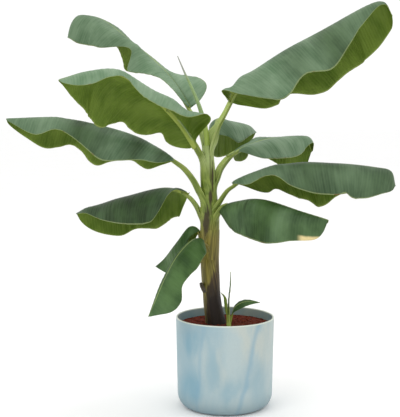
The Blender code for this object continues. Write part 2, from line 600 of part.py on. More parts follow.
def build():
    clear_scene()
    plant = new_collection("banana_plant")
    helpers = new_collection("cutters", hidden=True)

    # The pot: up its inside wall, over the rim and down the outside to the foot
    inside_rim = POT_RIM_RADIUS - POT_WALL
    inside_side = POT_SIDE_RADIUS - POT_WALL
    inside_corner = corner_points(POT_FOOT_RADIUS - POT_WALL, inside_side,
                                  POT_CORNER_HEIGHT - POT_FLOOR)
    outside_corner = corner_points(POT_FOOT_RADIUS, POT_SIDE_RADIUS, POT_CORNER_HEIGHT)
    inside = [(radius, height + POT_FLOOR) for radius, height in inside_corner[::-1]]
    edge = 0.0010
    rim = [
        (inside_rim, POT_HEIGHT - edge),
        (inside_rim + edge, POT_HEIGHT),
        (POT_RIM_RADIUS - edge, POT_HEIGHT),
        (POT_RIM_RADIUS, POT_HEIGHT - edge),
    ]
    profile = [(0.0, POT_FLOOR)] + inside + rim + outside_corner + [(0.0, 0.0)]
    turned("pot", profile, plant, POT_BLUE)

    # The soil: it fills the pot and lies a little lower at the wall
    lean = (inside_rim - inside_side) / (POT_HEIGHT - POT_CORNER_HEIGHT)
    wall_at_soil = inside_side + lean * (SOIL_LEVEL - SOIL_DIP - POT_CORNER_HEIGHT)
    soil_profile = [
        (0.0, SOIL_LEVEL),
        (0.055, SOIL_LEVEL),
        (0.085, SOIL_LEVEL - 0.4 * SOIL_DIP),
        (wall_at_soil - GAP, SOIL_LEVEL - SOIL_DIP),
    ]
    for radius, height in inside_corner:
        soil_profile.append((radius - GAP, height + POT_FLOOR + GAP))
    soil_profile.append((0.0, POT_FLOOR + GAP))
    turned("soil", soil_profile, plant, SOIL_BROWN)

    # The stem, and a fatter copy that seats the stalks against it
    ground = SOIL_LEVEL + GAP
    places, radii = stem_line()
    tapering_limb("stem", places, radii, plant, STEM_OLIVE, resolution=6, flat_at=ground)
    places, radii = stem_line(extra=GAP)
    places[-1] = (places[-1][0], 0.0, places[-1][2] + GAP)
    seat = make_cutter(tapering_limb("stem_seat", places, radii, helpers, STEM_OLIVE, resolution=6))

    # The eleven leaves, each a stalk and a blade
    for leaf in LEAVES:
        stalk = loft("stalk_" + leaf.name, stalk_rings(leaf), plant, STALK_GREEN)
        cut_away(stalk, seat)
        loft("blade_" + leaf.name, blade_rings(leaf), plant, BLADE_GREEN)

    # The rolled new leaf in the crown, and the dry stub low on the stem
    places, radii = even_limb(SPEAR_PATH, SPEAR_RADII, 12)
    spear = tapering_limb("spear_leaf", places, radii, plant, SPEAR_GREEN, resolution=2)
    cut_away(spear, seat)
    places, radii = even_limb(STUB_PATH, STUB_RADII, 6)
    stub = tapering_limb("dry_stub", places, radii, plant, STUB_BROWN, resolution=2)
    cut_away(stub, seat)

    # The sucker beside the stem
    places, radii = even_limb(SUCKER_PATH, SUCKER_RADII, 6)
    tapering_limb("sucker_stem", places, radii, plant, STALK_GREEN, resolution=2, flat_at=ground)
    fat = [radius + GAP for radius in radii]
    sucker_seat = make_cutter(tapering_limb("sucker_seat", places, fat, helpers, STALK_GREEN, resolution=2))
    for leaf in SUCKER_LEAVES:
        blade = loft(leaf.name, blade_rings(leaf, rows=12, steps=(0.0, 0.5, 1.0)), plant, BLADE_GREEN)
        cut_away(blade, sucker_seat)


build()
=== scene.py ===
# %% [markdown]
# # A young banana plant in a marbled pot
# The plant is built as a gardener would read it: a round pot of soil, a stem rolled
# from leaf sheaths, eleven broad leaves on channelled stalks, a rolled new leaf in the
# crown and a small sucker at the foot. The plain solids of the library part give every
# place and size. This script dresses each of them with a finer mesh and a finish.

# %% Load the part and count its solids
import math
from collections import namedtuple

import bmesh
import bpy
import numpy as np
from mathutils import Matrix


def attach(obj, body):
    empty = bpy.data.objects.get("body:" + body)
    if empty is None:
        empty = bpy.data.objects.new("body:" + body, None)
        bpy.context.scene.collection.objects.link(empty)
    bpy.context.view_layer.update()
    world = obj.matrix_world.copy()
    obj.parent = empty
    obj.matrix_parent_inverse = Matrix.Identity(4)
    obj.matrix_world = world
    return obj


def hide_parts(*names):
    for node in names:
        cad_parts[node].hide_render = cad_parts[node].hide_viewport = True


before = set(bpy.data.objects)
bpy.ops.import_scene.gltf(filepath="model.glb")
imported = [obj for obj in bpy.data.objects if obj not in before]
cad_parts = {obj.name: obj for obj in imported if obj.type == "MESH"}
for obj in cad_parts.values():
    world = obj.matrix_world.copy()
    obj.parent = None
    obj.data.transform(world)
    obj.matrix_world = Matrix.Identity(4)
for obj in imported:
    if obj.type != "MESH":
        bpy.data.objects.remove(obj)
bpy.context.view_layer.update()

print("solids to dress:", len(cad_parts))

# %% [markdown]
# The camera stands where the photographer stood: just over two metres in front, a
# little above the middle of the crown, and tipped down by a few degrees. A long lens
# from that far keeps the pot's rim a thin ellipse. The colours go to the screen
# unchanged, so that a measured green is the green that the render shows.

# %% Camera
CAMERA_PLACE = (-0.0561, -2.2, 0.666)
CAMERA_TIP = 5.73
LENS = 85.93

camera_data = bpy.data.cameras.new("camera")
camera_data.lens = LENS
camera_data.sensor_width = 36.0
camera = bpy.data.objects.new("camera", camera_data)
camera.location = CAMERA_PLACE
camera.rotation_euler = (math.radians(90 - CAMERA_TIP), 0, 0)
bpy.context.scene.collection.objects.link(camera)
bpy.context.scene.camera = camera
bpy.context.scene.view_settings.view_transform = "Standard"
print("camera at", CAMERA_PLACE)

# %% [markdown]
# Shader maths soon fills a page when every node is made by hand. Here a Wire wraps one
# output socket, and Python's operators add the Math nodes, so that a mask reads like
# the sum it is. A Finish holds one material, and its node method makes any other node.

# %% A wire that can be added and multiplied
class Wire:
    """One output socket of a finish, which Python's operators work on."""

    def __init__(self, finish, socket):
        self.finish = finish
        self.socket = socket

    def maths(self, operation, *values):
        return self.finish.node("ShaderNodeMath", {"operation": operation}, list(values))

    def __add__(self, other):
        return self.maths("ADD", self, other)

    def __sub__(self, other):
        return self.maths("SUBTRACT", self, other)

    def __rsub__(self, other):
        return self.maths("SUBTRACT", other, self)

    def __mul__(self, other):
        return self.maths("MULTIPLY", self, other)

    def __truediv__(self, other):
        return self.maths("DIVIDE", self, other)

    def __pow__(self, other):
        return self.maths("POWER", self, other)

    def __abs__(self):
        return self.maths("ABSOLUTE", self)

    __radd__ = __add__
    __rmul__ = __mul__

    def wave(self):
        """A sine of the value, moved to run between 0 and 1."""
        return self.maths("SINE", self) * 0.5 + 0.5

    def step(self, low, high):
        """0 below low and 1 above high, or the other way round, with a soft edge."""
        settings = {"interpolation_type": "SMOOTHSTEP"}
        flip = low > high
        low, high = min(low, high), max(low, high)
        ends = (1.0, 0.0) if flip else (0.0, 1.0)
        sockets = {"Value": self, "From Min": low, "From Max": high, "To Min": ends[0], "To Max": ends[1]}
        return self.finish.node("ShaderNodeMapRange", settings, sockets)


# %% A finish, and colours as the eye reads them
def paint(red, green, blue):
    """A screen colour of 0 to 255 as the linear colour that Blender mixes with."""
    def linear(value):
        value = value / 255
        return value / 12.92 if value <= 0.04045 else ((value + 0.055) / 1.055) ** 2.4
    return (linear(red), linear(green), linear(blue), 1.0)


class Finish:
    """One material: a Principled shader, with nodes added through one method."""

    def __init__(self, name, roughness=0.5, specular=0.5, coat=0.0):
        self.material = bpy.data.materials.new(name)
        self.material.use_nodes = True
        self.tree = self.material.node_tree
        self.shader = self.tree.nodes["Principled BSDF"]
        self.shader.inputs["Roughness"].default_value = roughness
        self.shader.inputs["Specular IOR Level"].default_value = specular
        self.shader.inputs["Coat Weight"].default_value = coat

    def node(self, kind, settings, sockets, output=0):
        """Make a node, set its settings, then its sockets, and give back one output."""
        made = self.tree.nodes.new(kind)
        for key, value in settings.items():
            if key == "stops":
                ramp = made.color_ramp
                while len(ramp.elements) < len(value):
                    ramp.elements.new(0.5)
                for element, (place, colour) in zip(ramp.elements, value):
                    element.position = place
                    element.color = colour
            else:
                setattr(made, key, value)
        pairs = sockets.items() if isinstance(sockets, dict) else enumerate(sockets)
        for key, value in pairs:
            if isinstance(value, Wire):
                self.tree.links.new(value.socket, made.inputs[key])
            else:
                made.inputs[key].default_value = value
        return Wire(self, made.outputs[output])

    def mark(self, name):
        """A value that the mesh carries at each of its points."""
        return self.node("ShaderNodeAttribute", {"attribute_name": name}, {}, "Fac")

    def place(self):
        """Where the point is, as x, y and z in metres."""
        where = self.node("ShaderNodeTexCoord", {}, {}, "Object")
        split = self.node("ShaderNodeSeparateXYZ", {}, [where])
        outs = split.socket.node.outputs
        return [Wire(self, outs[i]) for i in range(3)]

    def vector(self, x, y, z=0.0):
        return self.node("ShaderNodeCombineXYZ", {}, [x, y, z])

    def noise(self, vector, scale=1.0, detail=3.0, distortion=0.0):
        sockets = {"Vector": vector, "Scale": scale, "Detail": detail, "Distortion": distortion}
        return self.node("ShaderNodeTexNoise", {}, sockets, "Fac")

    def blend(self, mask, low, high):
        """The colour low where the mask is 0, and high where it is 1."""
        return self.node("ShaderNodeMix", {"data_type": "RGBA"}, {0: mask, 6: low, 7: high}, 2)

    def colour(self, value):
        self.tree.links.new(value.socket, self.shader.inputs["Base Color"])

    def gloss(self, value):
        self.tree.links.new(value.socket, self.shader.inputs["Roughness"])

    def relief(self, height, depth, strength=1.0):
        """Bump the surface by a height of 0 to 1, which stands for depth in metres."""
        bump = self.node("ShaderNodeBump", {}, {"Strength": strength, "Distance": depth, "Height": height})
        self.tree.links.new(bump.socket, self.shader.inputs["Normal"])


print("shader helpers ready")

# %% [markdown]
# Every piece here is a closed skin over rings or grids of points, worked out with
# numpy. One function turns such an array into an object, gives it its finishes and
# carries numbers such as the distance along a leaf to the shaders. Another hides the
# solids that the piece stands for.

# %% From arrays to a dressed piece
def make_piece(name, points, faces, finishes, nodes, marks=None, pick=None):
    """An object from points and faces. pick gives each face's finish by number."""
    mesh = bpy.data.meshes.new(name)
    mesh.from_pydata(np.asarray(points).tolist(), [], [list(face) for face in faces])
    for finish in finishes:
        mesh.materials.append(finish.material)
    if pick is not None:
        mesh.polygons.foreach_set("material_index", np.asarray(pick, np.int32))
    for key, values in (marks or {}).items():
        layer = mesh.attributes.new(key, "FLOAT", "POINT")
        layer.data.foreach_set("value", np.asarray(values, np.float32).ravel())
    mesh.shade_smooth()
    piece = bpy.data.objects.new(name, mesh)
    bpy.context.scene.collection.objects.link(piece)
    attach(piece, "root")
    if nodes:
        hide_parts(*nodes)
    return piece


def grid_faces(rows, columns, closed=False, start=0, flip=False):
    """Quads over a grid of points. closed joins the last column to the first."""
    across = columns if closed else columns - 1
    i, j = np.meshgrid(np.arange(rows - 1), np.arange(across), indexing="ij")
    a = i * columns + j
    b = i * columns + (j + 1) % columns
    quads = np.stack([a, b, b + columns, a + columns], -1).reshape(-1, 4) + start
    return quads[:, ::-1] if flip else quads


def skin_of_rings(rings):
    """Points and faces of a closed skin over rings of equal count."""
    rings = np.asarray(rings)
    rows, columns = rings.shape[:2]
    faces = [tuple(face) for face in grid_faces(rows, columns, closed=True)]
    faces.append(tuple(range(columns))[::-1])
    faces.append(tuple(range((rows - 1) * columns, rows * columns)))
    return rings.reshape(-1, 3), faces


def wobble(values, seed):
    """A smooth wandering number between about -1 and 1, for any array of values."""
    turn = np.random.default_rng(seed).uniform(0, 2 * math.pi, 5)
    waves = [math.pow(0.75, i) * np.sin(values * (1.0 + 0.83 * i) + turn[i]) for i in range(5)]
    return sum(waves) / 2.2


print("mesh helpers ready")

# %% [markdown]
# A banana leaf follows one line from the stem to its tip: first the stalk, then the
# midrib. The line is a smooth curve through a few places. A frame is carried along it
# so that the upper face never twists by itself, and the two halves of the blade are
# hung from that frame.

# %% The leaf's line and the frames along it
def smooth_curve(places, count):
    """Even steps along a smooth curve through the places, and the curve's length."""
    knots = [np.array(place, float) for place in places]
    knots = [2 * knots[0] - knots[1]] + knots + [2 * knots[-1] - knots[-2]]
    fine = []
    for a, b, c, d in zip(knots, knots[1:], knots[2:], knots[3:]):
        t = np.arange(0.0, 1.0, 0.02)[:, None]
        fine.append(0.5 * (2 * b + (c - a) * t + (2 * a - 5 * b + 4 * c - d) * t ** 2
                           + (3 * b - a - 3 * c + d) * t ** 3))
    fine = np.concatenate(fine + [knots[-2][None]])
    along = np.concatenate([[0.0], np.cumsum(np.linalg.norm(np.diff(fine[:, :3], axis=0), axis=1))])
    even = np.linspace(0.0, along[-1], count)
    return np.stack([np.interp(even, along, column) for column in fine.T], 1), along[-1]


def calmed(line, most=64):
    """The line's directions, averaged over their neighbours and even at the tip."""
    forward = np.gradient(line, axis=0)
    forward /= np.linalg.norm(forward, axis=1)[:, None]
    last = len(forward) - 1
    calm = forward.copy()
    for i in range(last + 1):
        reach = min(most, i)
        middle = min(i, last - reach)
        calm[i] = forward[middle - reach:middle + reach + 1].mean(axis=0)
    return calm / np.linalg.norm(calm, axis=1)[:, None]


def carried_frames(forward, top):
    """Forward, up and right at each place of the line."""
    up = np.zeros_like(forward)
    current = np.array(top, float)
    for i, direction in enumerate(forward):
        current = current - (current @ direction) * direction
        current /= np.linalg.norm(current)
        up[i] = current
    return forward, up, np.cross(forward, up)


def keyed(rows, shares):
    """Values of the rows at each share of the length, on a smooth curve through them."""
    table = np.asarray(rows, float)
    place, value = table[:, 0], table[:, 1:]
    slope = np.gradient(value, place, axis=0)
    shares = np.clip(np.atleast_1d(shares), 0, 1)
    low = np.clip(np.searchsorted(place, shares) - 1, 0, len(table) - 2)
    gap = (place[low + 1] - place[low])[:, None]
    t = (shares - place[low])[:, None] / gap
    ends = value[low] * (1 + 2 * t) * (1 - t) ** 2 + value[low + 1] * t * t * (3 - 2 * t)
    return (ends + gap * t * (1 - t) * (slope[low] * (1 - t) - slope[low + 1] * t)).T


def facing(path):
    """Where the upper face looks at the leaf's foot: back over the stem, and up."""
    away = np.array(path[-1][:2]) - np.array(path[0][:2])
    away = away / np.linalg.norm(away)
    return (-away[0], -away[1], 0.5)


def at_share(values, where):
    """Rows of an array at places between its rows."""
    low = np.clip(where.astype(int), 0, len(values) - 2)
    part = (where - low)[:, None]
    return values[low] * (1 - part) + values[low + 1] * part


print("curve helpers ready")

# %% [markdown]
# The eleven leaves differ in their line, in the width of each half and in how far each
# half hangs. Near the midrib a half leaves at one angle and bends to another at its
# margin, and both change along the blade, which gives the waves. Angles are degrees
# below level. Notches are short tears that run in from the margin along a vein.

# %% The leaves' sizes
# Each leaf's rows of bloom and painted light and shade run from 0 for the dark bare green to 1 for the pale bloomy one,
# at shares of its length.
Half = namedtuple("Half", "rows ripple notches")
Leaf = namedtuple("Leaf", "name path neck shape radii tone marks right left")

LEAVES = (
    Leaf(
        "top_right",
        ((-0.036, 0.000, 0.530), (-0.023, -0.008, 0.551), (-0.006, -0.018, 0.631), (0.010, -0.024, 0.678),
         (0.017, -0.026, 0.706), (0.031, -0.028, 0.731), (0.063, -0.032, 0.748), (0.129, -0.037, 0.790),
         (0.221, -0.047, 0.840), (0.296, -0.056, 0.880), (0.333, -0.062, 0.887), (0.350, -0.066, 0.863)),
        0.27, (0.85, 0.42), (0.0080, 0.0050),
        ((0, 0.85), (0.20, 0.72), (0.28, 0.80), (0.40, 0.40), (0.50, 0.55), (0.60, 0.15), (0.75, 0.40), (0.90, 0.40), (1, 0.4)), 0.35,
        Half(((0, 0.045, 0.020, 0.018), (0.03, 0.050, -0.040, 0.022), (0.07, 0.050, 0.036, 0.022),
              (0.12, 0.052, 0.085, 0.020), (0.18, 0.055, 0.100, 0.025), (0.3, 0.060, 0.095, 0.025),
              (0.42, 0.055, 0.072, 0.020), (0.55, 0.055, 0.090, 0.020), (0.68, 0.050, 0.068, 0.020),
              (0.82, 0.045, 0.043, 0.015), (0.93, 0.035, 0.010, 0.008), (1, 0.020, 0.004, 0.004)), 0.0012, ()),
        Half(((0, 0.040, 0.070, 0.010), (0.05, 0.055, 0.119, 0.015), (0.1, 0.058, 0.127, 0.020),
              (0.16, 0.060, 0.116, 0.025), (0.22, 0.060, 0.092, 0.030), (0.28, 0.060, 0.085, 0.030),
              (0.34, 0.060, 0.092, 0.030), (0.41, 0.062, 0.110, 0.030), (0.48, 0.065, 0.117, 0.030),
              (0.55, 0.065, 0.112, 0.030), (0.62, 0.065, 0.109, 0.030), (0.7, 0.062, 0.115, 0.030),
              (0.8, 0.058, 0.130, 0.025), (0.9, 0.052, 0.131, 0.020), (1, 0.035, 0.085, 0.010)), 0.0015, ()),
    ),
    Leaf(
        "top_left",
        ((-0.038, 0.002, 0.545), (-0.057, 0.020, 0.620), (-0.084, 0.050, 0.671), (-0.123, 0.085, 0.732),
         (-0.172, 0.115, 0.784), (-0.227, 0.140, 0.829), (-0.282, 0.165, 0.871), (-0.321, 0.179, 0.884),
         (-0.348, 0.186, 0.882), (-0.364, 0.190, 0.854)),
        0.25, (0.85, 0.36), (0.0070, 0.0048),
        ((0, 0.90), (0.15, 1.00), (0.30, 0.90), (0.50, 0.65), (0.75, 0.65), (1, 0.55)), 0.00,
        Half(((0, 0.035, -0.058, 0.004), (0.06, 0.052, -0.072, 0.004), (0.13, 0.050, -0.054, 0.004),
              (0.2, 0.048, -0.022, 0.004), (0.28, 0.044, 0.008, 0.005), (0.38, 0.044, 0.030, 0.008),
              (0.46, 0.050, 0.060, 0.012), (0.53, 0.050, 0.080, 0.020), (0.59, 0.050, 0.062, 0.020),
              (0.66, 0.050, 0.050, 0.020), (0.78, 0.050, 0.067, 0.020), (0.9, 0.042, 0.075, 0.020),
              (1, 0.030, 0.050, 0.010)), 0.0012, ()),
        Half(((0, 0.030, 0.000, 0.008), (0.12, 0.040, 0.000, 0.008), (0.22, 0.042, 0.009, 0.008),
              (0.31, 0.042, 0.029, 0.010), (0.37, 0.040, 0.044, 0.012), (0.42, 0.034, 0.050, 0.014),
              (0.47, 0.026, 0.014, 0.010), (0.52, 0.022, 0.014, 0.008), (0.57, 0.034, 0.028, 0.010),
              (0.63, 0.046, 0.048, 0.014), (0.7, 0.050, 0.062, 0.018), (0.78, 0.050, 0.080, 0.020),
              (0.88, 0.050, 0.095, 0.020), (1, 0.035, 0.075, 0.010)), 0.0012, ()),
    ),
    Leaf(
        "upper_left",
        ((-0.037, 0.000, 0.515), (-0.069, -0.035, 0.584), (-0.109, -0.075, 0.643), (-0.162, -0.120, 0.697),
         (-0.220, -0.165, 0.735), (-0.277, -0.205, 0.739), (-0.332, -0.240, 0.721)),
        0.17, (0.85, 0.40), (0.0080, 0.0058),
        ((0, 0.50), (0.20, 1.0), (0.60, 1.0), (0.80, 0.95), (1, 0.95)), 0.10,
        Half(((0, 0.030, 0.040, 0.010), (0.05, 0.045, 0.050, 0.015), (0.11, 0.050, 0.048, 0.020),
              (0.16, 0.055, 0.034, 0.022), (0.21, 0.060, 0.057, 0.025), (0.27, 0.062, 0.069, 0.028),
              (0.33, 0.065, 0.069, 0.030), (0.39, 0.068, 0.065, 0.030), (0.45, 0.070, 0.082, 0.030),
              (0.51, 0.070, 0.101, 0.030), (0.57, 0.072, 0.108, 0.030), (0.66, 0.075, 0.107, 0.030),
              (0.76, 0.070, 0.105, 0.030), (0.88, 0.060, 0.078, 0.020), (1, 0.030, 0.012, 0.010)), 0.0020, ()),
        Half(((0, 0.004, -0.004, 0.002), (0.045, 0.014, -0.016, 0.006), (0.09, 0.048, -0.064, 0.028), (0.13, 0.050, -0.060, 0.034), (0.22, 0.050, -0.006, 0.024),
              (0.34, 0.050, 0.017, 0.022), (0.46, 0.050, 0.030, 0.014), (0.58, 0.045, 0.028, 0.012),
              (0.68, 0.045, 0.012, 0.010), (0.77, 0.045, 0.018, 0.010), (0.86, 0.045, 0.036, 0.010), (0.94, 0.040, 0.036, 0.008), (1, 0.030, 0.024, 0.005)), 0.0008, ()),
    ),
    Leaf(
        "back_right",
        ((-0.036, 0.002, 0.525), (-0.026, 0.022, 0.594), (-0.017, 0.052, 0.640), (0.010, 0.110, 0.637),
         (0.048, 0.170, 0.626), (0.080, 0.222, 0.609)),
        0.28, (0.80, 0.42), (0.0060, 0.0045),
        ((0, 0.60), (0.50, 0.75), (1, 0.70)), 0.10,
        Half(((0, 0.020, 0.040, 0.004), (0.15, 0.030, 0.066, 0.008), (0.35, 0.035, 0.057, 0.010),
              (0.55, 0.035, 0.041, 0.010), (0.75, 0.030, 0.028, 0.010), (1, 0.010, 0.012, 0.004)), 0.0012, ()),
        Half(((0, 0.024, 0.024, 0.010), (0.15, 0.034, 0.062, 0.016), (0.35, 0.045, 0.070, 0.020),
              (0.55, 0.050, 0.082, 0.020), (0.75, 0.045, 0.082, 0.020), (0.9, 0.040, 0.085, 0.015),
              (1, 0.025, 0.060, 0.010)), 0.0015, ()),
    ),
    Leaf(
        "upper_right",
        ((-0.036, 0.000, 0.490), (-0.006, 0.012, 0.548), (0.032, 0.040, 0.572), (0.089, 0.085, 0.592),
         (0.150, 0.140, 0.600), (0.194, 0.176, 0.595), (0.212, 0.190, 0.564)),
        0.23, (0.85, 0.36), (0.0085, 0.0055),
        ((0, 0.45), (0.25, 0.75), (0.60, 0.80), (1, 0.80)), 0.20,
        Half(((0, 0.002, 0.002, 0.000), (0.09, 0.004, 0.003, 0.001), (0.18, 0.046, 0.026, 0.014), (0.3, 0.050, 0.036, 0.015),
              (0.45, 0.050, 0.042, 0.015), (0.6, 0.050, 0.044, 0.015), (0.75, 0.045, 0.037, 0.015),
              (0.88, 0.040, 0.012, 0.010), (1, 0.020, 0.006, 0.004)), 0.0012, ()),
        Half(((0, 0.002, 0.002, 0.000), (0.05, 0.006, 0.010, 0.001), (0.10, 0.030, 0.034, 0.010), (0.19, 0.044, 0.046, 0.016),
              (0.28, 0.044, 0.046, 0.018), (0.36, 0.042, 0.030, 0.018), (0.5, 0.040, 0.045, 0.018),
              (0.62, 0.034, 0.066, 0.018), (0.75, 0.026, 0.092, 0.016), (0.88, 0.016, 0.122, 0.014),
              (1, 0.006, 0.155, 0.010)), 0.0018, ()),
    ),
    Leaf(
        "middle_right",
        ((-0.036, 0.000, 0.440), (-0.004, -0.020, 0.485), (0.028, -0.035, 0.509), (0.081, -0.055, 0.531),
         (0.156, -0.078, 0.549), (0.238, -0.100, 0.549), (0.310, -0.115, 0.543), (0.343, -0.122, 0.535),
         (0.352, -0.126, 0.506)),
        0.19, (0.90, 0.35), (0.0085, 0.0058),
        ((0, 0.55), (0.20, 0.50), (0.45, 0.15), (0.70, 0.35), (1, 0.20)), 0.35,
        Half(((0, 0.030, 0.010, 0.008), (0.1, 0.040, 0.024, 0.012), (0.17, 0.045, 0.017, 0.010),
              (0.23, 0.048, 0.011, 0.010), (0.29, 0.050, 0.016, 0.012), (0.36, 0.053, 0.039, 0.015),
              (0.44, 0.055, 0.052, 0.020), (0.52, 0.055, 0.059, 0.020), (0.6, 0.055, 0.061, 0.020),
              (0.67, 0.055, 0.064, 0.020), (0.73, 0.055, 0.071, 0.020), (0.8, 0.055, 0.081, 0.020),
              (0.9, 0.052, 0.081, 0.020), (1, 0.035, 0.045, 0.012)), 0.0012, ((0.685, 0.1, 0.01),)),
        Half(((0, 0.030, 0.026, 0.010), (0.08, 0.043, 0.062, 0.018), (0.14, 0.048, 0.068, 0.020),
              (0.2, 0.050, 0.059, 0.020), (0.26, 0.054, 0.072, 0.020), (0.33, 0.058, 0.086, 0.020),
              (0.4, 0.060, 0.093, 0.020), (0.47, 0.060, 0.107, 0.020), (0.54, 0.060, 0.101, 0.020),
              (0.61, 0.058, 0.083, 0.020), (0.72, 0.055, 0.077, 0.020), (0.86, 0.050, 0.083, 0.020),
              (1, 0.030, 0.030, 0.010)), 0.0018, ()),
    ),
    Leaf(
        "middle_left",
        ((-0.036, 0.000, 0.445), (-0.076, -0.014, 0.518), (-0.120, -0.018, 0.557), (-0.191, -0.022, 0.601),
         (-0.278, -0.028, 0.629), (-0.376, -0.036, 0.6455), (-0.474, -0.045, 0.644)),
        0.23, (0.90, 0.42), (0.0095, 0.0058),
        ((0, 0.60), (0.12, 0.25), (0.18, 0.70), (0.26, 0.15), (0.36, 0.60), (0.48, 0.25), (0.60, 0.05), (0.72, 0.60), (1, 0.65)), 0.10,
        Half(((0, 0.002, 0.002, 0.000), (0.03, 0.010, 0.008, 0.002), (0.07, 0.040, 0.042, 0.014), (0.12, 0.050, 0.070, 0.020),
              (0.18, 0.055, 0.069, 0.020), (0.24, 0.052, 0.061, 0.020), (0.31, 0.050, 0.067, 0.020),
              (0.38, 0.052, 0.077, 0.022), (0.45, 0.055, 0.091, 0.025), (0.51, 0.058, 0.086, 0.025),
              (0.57, 0.060, 0.069, 0.022), (0.64, 0.060, 0.061, 0.020), (0.71, 0.060, 0.074, 0.025),
              (0.8, 0.058, 0.089, 0.025), (0.9, 0.050, 0.074, 0.020), (1, 0.030, 0.050, 0.010)), 0.0018, ()),
        Half(((0, 0.002, 0.001, 0.000), (0.03, 0.010, 0.005, 0.002), (0.1, 0.045, 0.035, 0.015), (0.2, 0.045, 0.047, 0.015),
              (0.32, 0.050, 0.063, 0.020), (0.44, 0.055, 0.070, 0.020), (0.54, 0.050, 0.054, 0.015),
              (0.63, 0.045, 0.037, 0.010), (0.72, 0.045, 0.027, 0.012), (0.84, 0.045, 0.051, 0.015),
              (1, 0.030, 0.020, 0.010)), 0.0012, ()),
    ),
    Leaf(
        "lower_left",
        ((-0.035, 0.000, 0.408), (-0.063, 0.012, 0.454), (-0.090, 0.030, 0.478), (-0.143, 0.065, 0.484),
         (-0.221, 0.105, 0.462), (-0.294, 0.135, 0.440), (-0.350, 0.153, 0.418)),
        0.225, (0.85, 0.42), (0.0080, 0.0055),
        ((0, 0.20), (0.18, 0.10), (0.30, 0.00), (0.62, 0.00), (0.8, 0.10), (1, 0.30)), 0.80,
        Half(((0, 0.042, 0.070, 0.010), (0.06, 0.050, 0.100, 0.012), (0.14, 0.050, 0.086, 0.018),
              (0.22, 0.050, 0.078, 0.020), (0.29, 0.052, 0.078, 0.022), (0.36, 0.055, 0.081, 0.025),
              (0.44, 0.055, 0.085, 0.025), (0.52, 0.055, 0.080, 0.025), (0.62, 0.055, 0.078, 0.025),
              (0.74, 0.050, 0.097, 0.020), (0.84, 0.048, 0.101, 0.020), (0.93, 0.045, 0.102, 0.015),
              (1, 0.035, 0.100, 0.010)), 0.0020, ()),
        Half(((0, 0.025, 0.000, 0.004), (0.09, 0.032, 0.008, 0.006), (0.16, 0.040, 0.058, 0.010),
              (0.23, 0.047, 0.082, 0.014), (0.31, 0.050, 0.082, 0.018), (0.4, 0.053, 0.076, 0.020),
              (0.5, 0.055, 0.069, 0.020), (0.62, 0.050, 0.061, 0.020), (0.78, 0.045, 0.045, 0.010),
              (0.9, 0.040, 0.019, 0.010), (1, 0.020, 0.012, 0.004)), 0.0012, ()),
    ),
    Leaf(
        "lower_right",
        ((-0.035, 0.000, 0.402), (-0.009, -0.022, 0.447), (0.030, -0.045, 0.464), (0.079, -0.080, 0.470),
         (0.156, -0.125, 0.450), (0.209, -0.155, 0.436)),
        0.16, (0.85, 0.36), (0.0085, 0.0060),
        ((0, 0.05), (0.25, 0.25), (0.40, 0.20), (0.48, 0.00), (0.58, 0.00), (0.66, 0.40), (0.78, 0.20), (1, 0.20)), 1.00,
        Half(((0, 0.030, 0.085, 0.010), (0.04, 0.038, 0.086, 0.014), (0.08, 0.042, 0.082, 0.016), (0.16, 0.048, 0.076, 0.020),
              (0.25, 0.050, 0.074, 0.020), (0.35, 0.053, 0.075, 0.025), (0.45, 0.055, 0.077, 0.025),
              (0.52, 0.055, 0.078, 0.025), (0.6, 0.055, 0.080, 0.022), (0.7, 0.053, 0.076, 0.020),
              (0.8, 0.050, 0.071, 0.020), (0.92, 0.046, 0.082, 0.015), (1, 0.032, 0.108, 0.010)), 0.0012, ()),
        Half(((0, 0.030, 0.020, 0.006), (0.25, 0.060, 0.054, 0.010), (0.5, 0.060, 0.054, 0.010),
              (0.75, 0.055, 0.052, 0.010), (1, 0.030, 0.030, 0.010)), 0.0018, ()),
    ),
    Leaf(
        "hanging_front",
        ((-0.036, -0.004, 0.338), (-0.051, -0.038, 0.377), (-0.071, -0.062, 0.382), (-0.103, -0.090, 0.353),
         (-0.129, -0.110, 0.309), (-0.151, -0.125, 0.260), (-0.165, -0.130, 0.229)),
        0.20, (0.85, 0.42), (0.0060, 0.0040),
        ((0, 0.00), (0.35, 0.00), (0.55, 0.10), (0.8, 0.30), (1, 0.60)), 0.60,
        Half(((0, 0.010, 0.020, 0.003), (0.2, 0.025, 0.050, 0.008), (0.5, 0.023, 0.050, 0.008),
              (0.8, 0.016, 0.036, 0.008), (1, 0.010, 0.020, 0.003)), 0.0010, ()),
        Half(((0, 0.025, 0.010, 0.004), (0.12, 0.050, 0.020, 0.010), (0.26, 0.055, 0.011, 0.010),
              (0.4, 0.055, 0.011, 0.010), (0.5, 0.050, 0.008, 0.010), (0.62, 0.045, 0.012, 0.010),
              (0.76, 0.049, 0.041, 0.010), (0.9, 0.045, 0.042, 0.010), (1, 0.020, 0.010, 0.004)), 0.0012, ()),
    ),
    Leaf(
        "hanging_back",
        ((-0.036, 0.002, 0.345), (-0.057, 0.013, 0.393), (-0.080, 0.025, 0.400), (-0.106, 0.042, 0.366),
         (-0.137, 0.058, 0.325), (-0.158, 0.065, 0.305)),
        0.25, (0.85, 0.60), (0.0050, 0.0036),
        ((0, 0.10), (0.50, 0.25), (1, 0.20)), 0.60,
        Half(((0, 0.032, 0.080, 0.003), (0.2, 0.030, 0.070, 0.006), (0.5, 0.020, 0.035, 0.008),
              (1, 0.010, 0.020, 0.003)), 0.0008, ()),
        Half(((0, 0.020, 0.030, 0.004), (0.2, 0.035, 0.059, 0.006), (0.45, 0.040, 0.045, 0.006),
              (0.7, 0.038, 0.049, 0.006), (0.88, 0.033, 0.077, 0.006), (1, 0.020, 0.050, 0.004)), 0.0008, ()),
    ),
)
print("leaves:", len(LEAVES))
